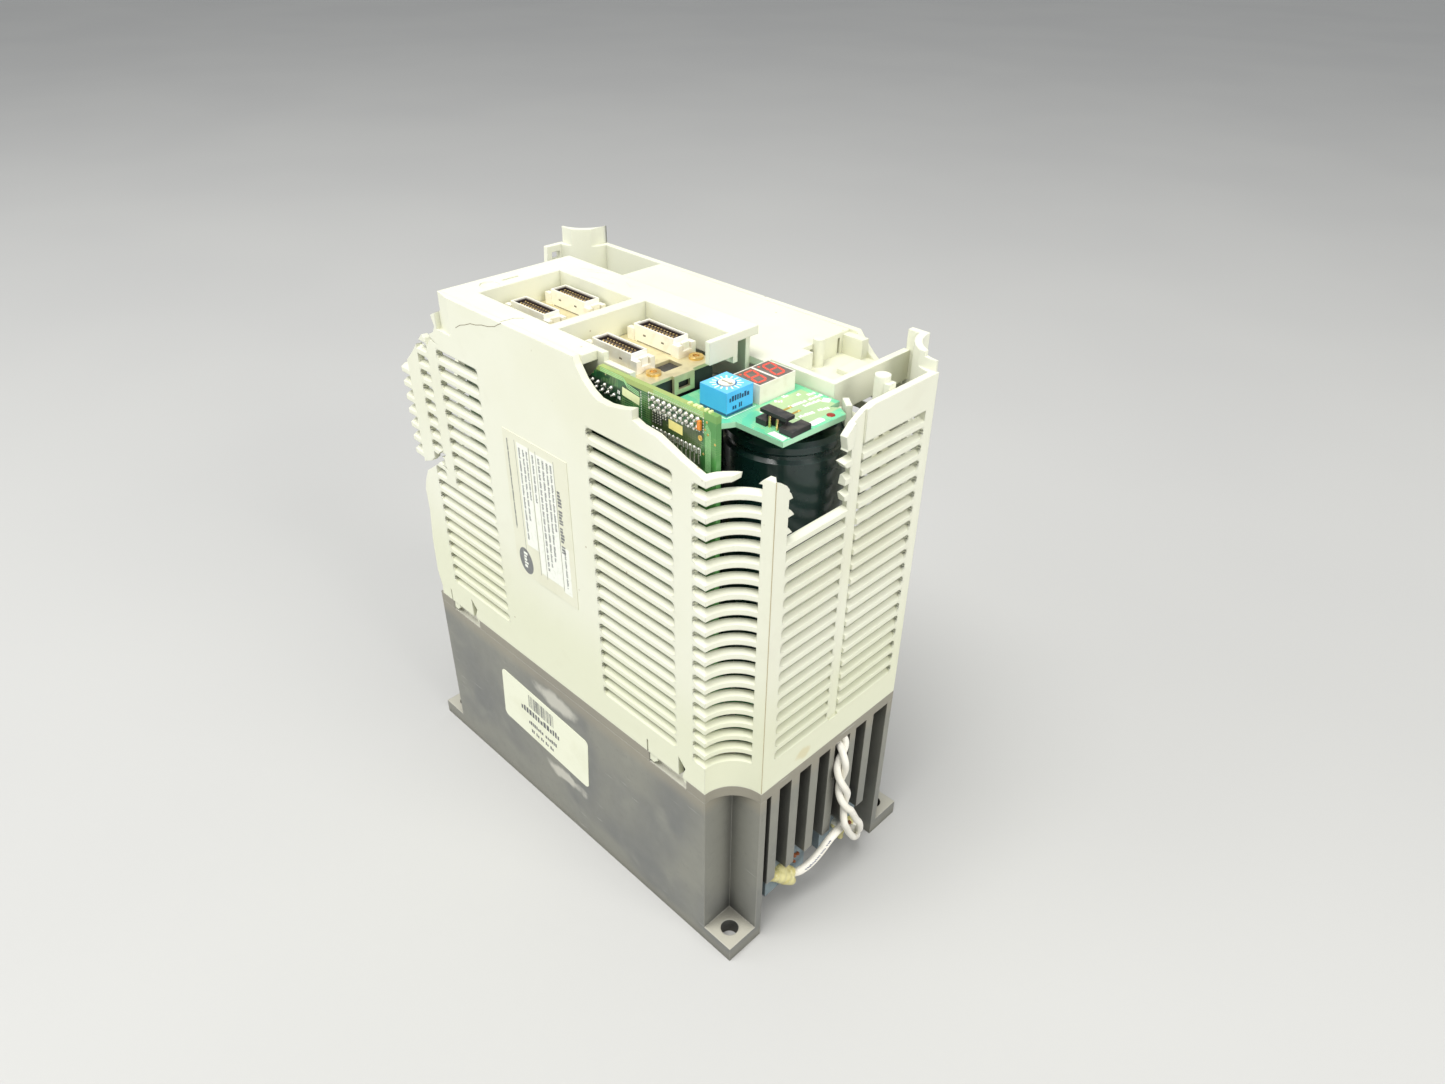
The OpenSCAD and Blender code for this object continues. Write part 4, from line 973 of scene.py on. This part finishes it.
def make_segments():
    """The two seven-segment figures, each segment a pointed bar."""
    face_top = node_box("digit_display_face")[1].z
    plate = top_face(face_top)
    half = DIGIT_STROKE / 2
    left, right = half, DIGIT_WIDE - half
    bottom, middle, top = half, DIGIT_HIGH / 2, DIGIT_HIGH - half
    bars = [((left, bottom), (right, bottom)), ((left, middle), (right, middle)), ((left, top), (right, top)),
            ((left, bottom), (left, middle)), ((left, middle), (left, top)),
            ((right, bottom), (right, middle)), ((right, middle), (right, top))]
    shapes = Shapes()
    for start in DIGIT_STARTS:
        for a, b in bars:
            a, b = Vector(a), Vector(b)
            along = (b - a).normalized()
            across = Vector((-along.y, along.x)) * half * 0.9
            a, b = a + along * SEGMENT_GAP, b - along * SEGMENT_GAP
            ring = [a, a + along * half + across, b - along * half + across, b,
                    b - along * half - across, a + along * half - across]
            plate.patch(shapes, [digit_point(start, p.x, p.y) for p in ring], 0.04)
        plate.disc(shapes, *digit_point(start, DIGIT_WIDE + 0.75, 0.3), 0.42, 0.04)
    shapes.build("display_segments", RED_SEGMENT, "display_grey")
    divider = Shapes()
    low, high = node_box("digit_display_face")
    middle_y = (low.y + high.y) / 2
    divider.box((low.x, middle_y - 0.2, face_top - 0.05), (high.x, middle_y + 0.2, face_top + 0.05))
    divider.build("display_divider", PAINTS["dial_white"], "dial_white")


DIAL_POSITIONS = 16


def make_switch_marks():
    """Sixteen marks round the dial and two rows of blank print on the switch's side."""
    low, high = node_box("rotary_switch_body")
    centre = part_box("rotary_switch_dial")
    x = (centre[0].x + centre[1].x) / 2 / MM
    y = (centre[0].y + centre[1].y) / 2 / MM
    top = top_face(high.z, x, y)
    marks = Shapes()
    for i in range(DIAL_POSITIONS):
        angle = 2 * math.pi * i / DIAL_POSITIONS
        inner, outer = (3.0, 4.3) if i % 2 == 0 else (3.1, 4.0)
        top.stroke(marks, [(inner * math.cos(angle), inner * math.sin(angle)),
                           (outer * math.cos(angle), outer * math.sin(angle))], 0.42, PRINT)
    marks.build("switch_marks", WHITE_PRINT, "switch_blue")
    side = end_face(high.x)
    rows = Shapes()
    side.marks(rows, (low.y + 1.0, high.z - 2.1), (high.y - 0.9, high.z - 2.1), 1.5, PRINT, 41, 9)
    side.marks(rows, (low.y + 2.2, high.z - 4.6), (high.y - 2.8, high.z - 4.6), 1.3, PRINT, 42, 2)
    rows.build("switch_side_marks", SWITCH_INK, "switch_blue")


SOCKETS = (1, 2, 3, 4)
SHELL_GAP = 0.55


def make_shell_details():
    """Painted shade: dark patches for the punched slots and fold lines of the socket shells."""
    dark = Shapes()
    for number in SOCKETS:
        low, high = node_box("connector_insert_%d" % number)
        middle = (low.x + high.x) / 2
        wall = front_face(low.y - SHELL_GAP)
        for u in (-4.4, 3.2):
            wall.bar(dark, middle + u, high.z - 2.3, middle + u + 1.1, high.z - 1.8, PRINT)
        wall.bar(dark, low.x + 0.6, low.z + 0.05, high.x - 0.6, low.z + 0.25, PRINT)
        end = end_face(high.x + SHELL_GAP)
        end.bar(dark, low.y + 1.4, high.z - 2.2, high.y - 1.4, high.z - 1.9, PRINT)
    dark.build("shell_slot_shade", SHELL_SHADE, "connector_metal")


TIP_COUNT = 10
TIP_WIDTH = 0.6


def make_contact_tips():
    """Bright bent-over tips of the near row of contacts in each socket, their glint painted in as a pale,
    barely metallic gold.
    """
    tips = Shapes()
    for number in SOCKETS:
        low, high = node_box("connector_contacts_%d" % number)
        middle = (low.y + high.y) / 2
        pitch = (high.x - low.x - TIP_WIDTH) / (TIP_COUNT - 1)
        for i in range(TIP_COUNT):
            x = low.x + pitch * i
            tips.box((x, middle - 1.5, high.z - 0.6), (x + TIP_WIDTH, middle - 0.7, high.z - 0.2))
    tips.build("contact_tips", GLINTING_TIP_GOLD, "gold_contacts")


HEADER_PITCH = 1.27


def make_header_ticks():
    """Pins along both sides of the board header, seen past the control board."""
    low, high = node_box("board_header")
    ticks = Shapes()
    for i in range(int((high.x - low.x - 1) / HEADER_PITCH)):
        x = low.x + 1 + HEADER_PITCH * i
        for y in (low.y, high.y):
            ticks.box((x, y - 0.12, high.z - 1.6), (x + 0.5, y + 0.12, high.z + 0.12))
    ticks.build("header_ticks", SOLDER, "gold_contacts")


# ---------------------------------------------------------------- labels

BAR_WIDTHS = (0.5, 0.25, 0.75, 0.25, 0.25, 0.5, 0.25, 0.75, 0.5, 0.25, 0.25, 0.75, 0.25, 0.5, 0.25, 0.25)
PLATE_MARK_SIZE = 0.72
PLATE_PRINT = PRINT * 1.8
STICKER_TILT = math.radians(4)
BAR_SHARE = 0.7


def make_nameplate_print():
    """The rating plate's layout: framed blank fields, rows of plain marks and an oval mark."""
    plate = front_face(node_box("nameplate_label")[0].y)
    fields = Shapes()
    plate.bar(fields, -8.0, 122, -2.3, 158.6, PRINT)
    plate.bar(fields, -1.6, 114, 1.0, 158, PRINT)
    plate.bar(fields, 1.4, 114, 9.6, 158, PRINT)
    plate.bar(fields, 10.0, 112.5, 13.8, 130, PRINT)
    fields.build("nameplate_fields", PALE_INK, "label_paper")
    ink = Shapes()
    columns = [(-12.9, 158, 126, 0.8, 12), (-6.9, 157, 124, 1.1, 8), (-4.9, 157, 132, 1.1, 5),
               (-3.2, 157, 140, 1.0, 7), (-0.3, 157, 140, 1.1, 6), (2.6, 157, 117, 1.2, 4),
               (4.6, 157, 119, 1.2, 6), (6.6, 157, 122, 1.2, 7), (8.4, 157, 134, 1.1, 6),
               (11.3, 149.5, 127, 2.4, 5), (11.9, 128.6, 114.5, 1.1, 6)]
    for i, (u, top, bottom, size, word) in enumerate(columns):
        plate.marks(ink, (u, top), (u, bottom), size * PLATE_MARK_SIZE, PLATE_PRINT, 60 + i, word)
    oval = [(-9.8 + 3.5 * math.cos(a) - 0.5 * math.sin(a), 114.8 + 4.8 * math.sin(a))
            for a in (2 * math.pi * i / 32 for i in range(32))]
    plate.patch(ink, oval, PRINT)
    for u in (-9.1, -2.0, 1.2, 9.8):
        plate.bar(ink, u - 0.06, 113, u + 0.06, 158.8, PRINT)
    ink.build("nameplate_ink", NAMEPLATE_INK, "label_paper")
    mark = Shapes()
    plate.marks(mark, (-9.8, 118.2), (-9.8, 111.4), 2.0, PLATE_PRINT, 77, 9)
    mark.build("nameplate_oval_mark", PALE_INK, "label_paper")


def make_sticker_print():
    """A plain bar code and rows of blank marks on the sticker."""
    low, high = node_box("asset_label")
    centre = (low + high) / 2
    paper = Face((centre.x, low.y, centre.z), (math.cos(STICKER_TILT), 0, -math.sin(STICKER_TILT)),
                 (math.sin(STICKER_TILT), 0, math.cos(STICKER_TILT)))
    ink = Shapes()
    rng = random.Random(SEED)
    u = -9.0
    while u < 5.6:
        wide = rng.choice(BAR_WIDTHS)
        paper.bar(ink, u, 3.6, min(u + wide * BAR_SHARE, 5.8), 9.6, PRINT)
        u += wide * BAR_SHARE + rng.choice((0.25, 0.35, 0.5))
    paper.marks(ink, (-13.8, 0.9), (9.4, 0.9), 2.7, PRINT, 90, 99)
    paper.marks(ink, (-9.6, -4.6), (7.9, -4.6), 1.8, PRINT, 91, 8)
    paper.marks(ink, (-8.2, -8.4), (5.7, -8.4), 1.6, PRINT, 92, 2)
    ink.build("sticker_ink", INK, "label_paper")


# ---------------------------------------------------------------- marks on the casing

CRACK_SIDE = [(-33.7, 186.7), (-31.0, 188.3), (-28.1, 189.2), (-25.2, 190.4), (-22.3, 190.8),
              (-19.1, 191.7), (-16.1, 192.1), (-12.5, 193.1), (-10.8, 194.1), (-9.0, 195.0)]
CRACK_TOP = [(-10.1, -44.6), (-10.1, -43.4), (-9.9, -41.9), (-9.9, -40.3), (-8.8, -39.1), (-7.8, -38.2)]
TOP_STROKES = [
    [(-30.9, 0.7), (-27.5, 2.2), (-25.2, 3.8)], [(-27.4, 0.4), (-24.0, 1.9), (-21.4, 3.6)],
    [(-22.1, -2.4), (-18.5, -1.9)], [(-16.9, -1.8), (-12.7, -1.4)], [(-10.7, 2.2), (-7.5, 0.9), (-4.8, 2.6)],
    [(17.4, -2.6), (20.6, -2.2)], [(21.8, -2.8), (24.7, -2.6)],
]


def make_case_marks():
    """The crack in the side cover and faint moulded strokes on the connector block."""
    top = top_face(node_box("connector_bezel")[1].z)
    crack = Shapes()
    COVER_FACE.stroke(crack, CRACK_SIDE, 0.16, PRINT)
    top.stroke(crack, CRACK_TOP, 0.16, PRINT)
    crack.build("case_crack", DARK_SEAM, "casing")
    strokes = Shapes()
    for route in TOP_STROKES:
        top.stroke(strokes, route, 0.3, PRINT)
    strokes.build("case_strokes", MOULDED_STROKE, "casing")


SLOT_BASE = 81.7
SLOT_PITCH = 5.1
SLOT_ROWS = range(19)
SLOT_LOW = -0.85
SLOT_HIGH = 2.6
SLOT_RADIUS = 1.5
SLOT_FILL = 1.1
LONG_SLOTS_BELOW = 153
FIRST_SPLIT_ROW = 9
NO_OUTER_END_ROWS = (9, 10, 17, 18)


def round_slot_end(shapes, face, end, ahead, row):
    """Two corner pieces that make one square end of a slot round; ahead is +1 or -1."""
    base = SLOT_BASE + SLOT_PITCH * row
    for z, up in ((base + SLOT_LOW, 1), (base + SLOT_HIGH, -1)):
        arc = [math.radians(15 * k) for k in range(7)]
        outline = [(end, z)]
        outline += [(end + ahead * SLOT_RADIUS * (1 - math.sin(a)), z + up * SLOT_RADIUS * (1 - math.cos(a)))
                    for a in arc]
        shapes.prism([face.at(u, v, -0.01) for u, v in outline], face.out * -SLOT_FILL)


def make_slot_ends():
    """Round corners for the slots of the side cover and of the display end's wall."""
    end_wall = end_face(case_high.x)
    shapes = Shapes()
    for row in SLOT_ROWS:
        ends = [(26, 1), (60, -1), (67, 1), (-25, -1)]
        if row >= FIRST_SPLIT_ROW:
            ends += [(-53, -1), (-47.5, 1)]
        if row not in NO_OUTER_END_ROWS:
            ends.append((-59.5, 1))
        for end, ahead in ends:
            round_slot_end(shapes, COVER_FACE, end, ahead, row)
    for row in SLOT_ROWS[:-1]:
        round_slot_end(shapes, end_wall, 29, -1, row)
        if SLOT_BASE + SLOT_PITCH * row < LONG_SLOTS_BELOW:
            round_slot_end(shapes, end_wall, -28, 1, row)
    shapes.build("slot_ends", PAINTS["casing"], "casing")


SEAM_LOW, SEAM_HIGH = 70.5, 178


def make_corner_seam():
    """The line where the side cover meets the casing, along the corner's edge."""
    seam = Shapes()
    x, y = case_high.x, case_low.y
    seam.box((x - 0.09, y - 0.09, SEAM_LOW), (x + 0.03, y + 0.03, SEAM_HIGH))
    seam.build("corner_seam", PALE_SEAM, "casing")


# ---------------------------------------------------------------- the whole scene

for lead_name, (phase, loop) in LEADS.items():
    make_lead(lead_name, phase, loop)
make_sleeved_lead()
glue_pieces = [make_glue(name, blobs) for name, blobs in GLUE_BLOBS.items()]
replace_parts(glue_pieces[0], "resistor_glue")
make_resistor_ends()
make_control_solder()
make_control_chips()
make_control_prints()
make_board_tabs()
make_display_prints()
make_segments()
make_switch_marks()
make_shell_details()
make_contact_tips()
make_header_ticks()
make_nameplate_print()
make_sticker_print()
make_case_marks()
make_slot_ends()
make_corner_seam()


# ---------------------------------------------------------------- floor, lights and camera, in metres

FLOOR_REACH = 12.0


def make_floor():
    mesh = bpy.data.meshes.new("floor")
    corners = [(-FLOOR_REACH, -FLOOR_REACH, 0), (FLOOR_REACH, -FLOOR_REACH, 0),
               (FLOOR_REACH, FLOOR_REACH, 0), (-FLOOR_REACH, FLOOR_REACH, 0)]
    mesh.from_pydata(corners, [], [(0, 1, 2, 3)])
    paint = Paint("floor_paper", (190, 190, 188), 0.85)
    paint.clouds(300, 2, 0.3, 0.7, (184, 184, 183), 0.5)
    mesh.materials.append(paint.done())
    floor = in_scene("floor", mesh)


def make_light(name, place, aim, size, watts, color):
    data = bpy.data.lights.new(name, "AREA")
    data.shape = "DISK"
    data.size = size
    data.energy = watts
    data.color = color
    light = in_scene(name, data)
    light.location = place
    light.rotation_euler = (Vector(aim) - Vector(place)).to_track_quat("-Z", "Y").to_euler()


def make_world():
    world = bpy.data.worlds.new("studio")
    world.use_nodes = True
    sky = world.node_tree.nodes["Background"]
    sky.inputs["Color"].default_value = shader_color((236, 238, 240))
    sky.inputs["Strength"].default_value = 0.62
    bpy.context.scene.world = world


CAMERA_PLACE = (0.218411, -0.189700, 0.297456)
CAMERA_RIGHT = (0.71140788, 0.70266892, 0.01245827)
CAMERA_DOWN = (0.39590575, -0.38605702, -0.83319782)
CAMERA_AHEAD = (-0.58065262, 0.5976758, -0.55283468)
CAMERA_LENS = 24.75


def make_camera():
    data = bpy.data.cameras.new("camera")
    data.sensor_width = 36
    data.lens = CAMERA_LENS
    data.clip_start = 0.01
    camera = in_scene("camera", data)
    axes = Matrix((CAMERA_RIGHT, -Vector(CAMERA_DOWN), -Vector(CAMERA_AHEAD))).transposed()
    camera.matrix_world = Matrix.Translation(CAMERA_PLACE) @ axes.to_4x4()
    bpy.context.scene.camera = camera


make_floor()
make_light("key", (0.1, -0.5, 1.5), (0, 0, 0.1), 0.9, 20, (1.0, 0.99, 0.96))
make_light("left_fill", (-0.9, -1.3, 0.7), (0, 0, 0.1), 1.2, 9.6, (1.0, 1.0, 1.0))
make_light("right_fill", (1.55, 0.1, 0.95), (0, 0, 0.1), 1.0, 14.5, (1.0, 0.98, 0.94))
make_world()
make_camera()
bpy.context.scene.view_settings.view_transform = "Standard"
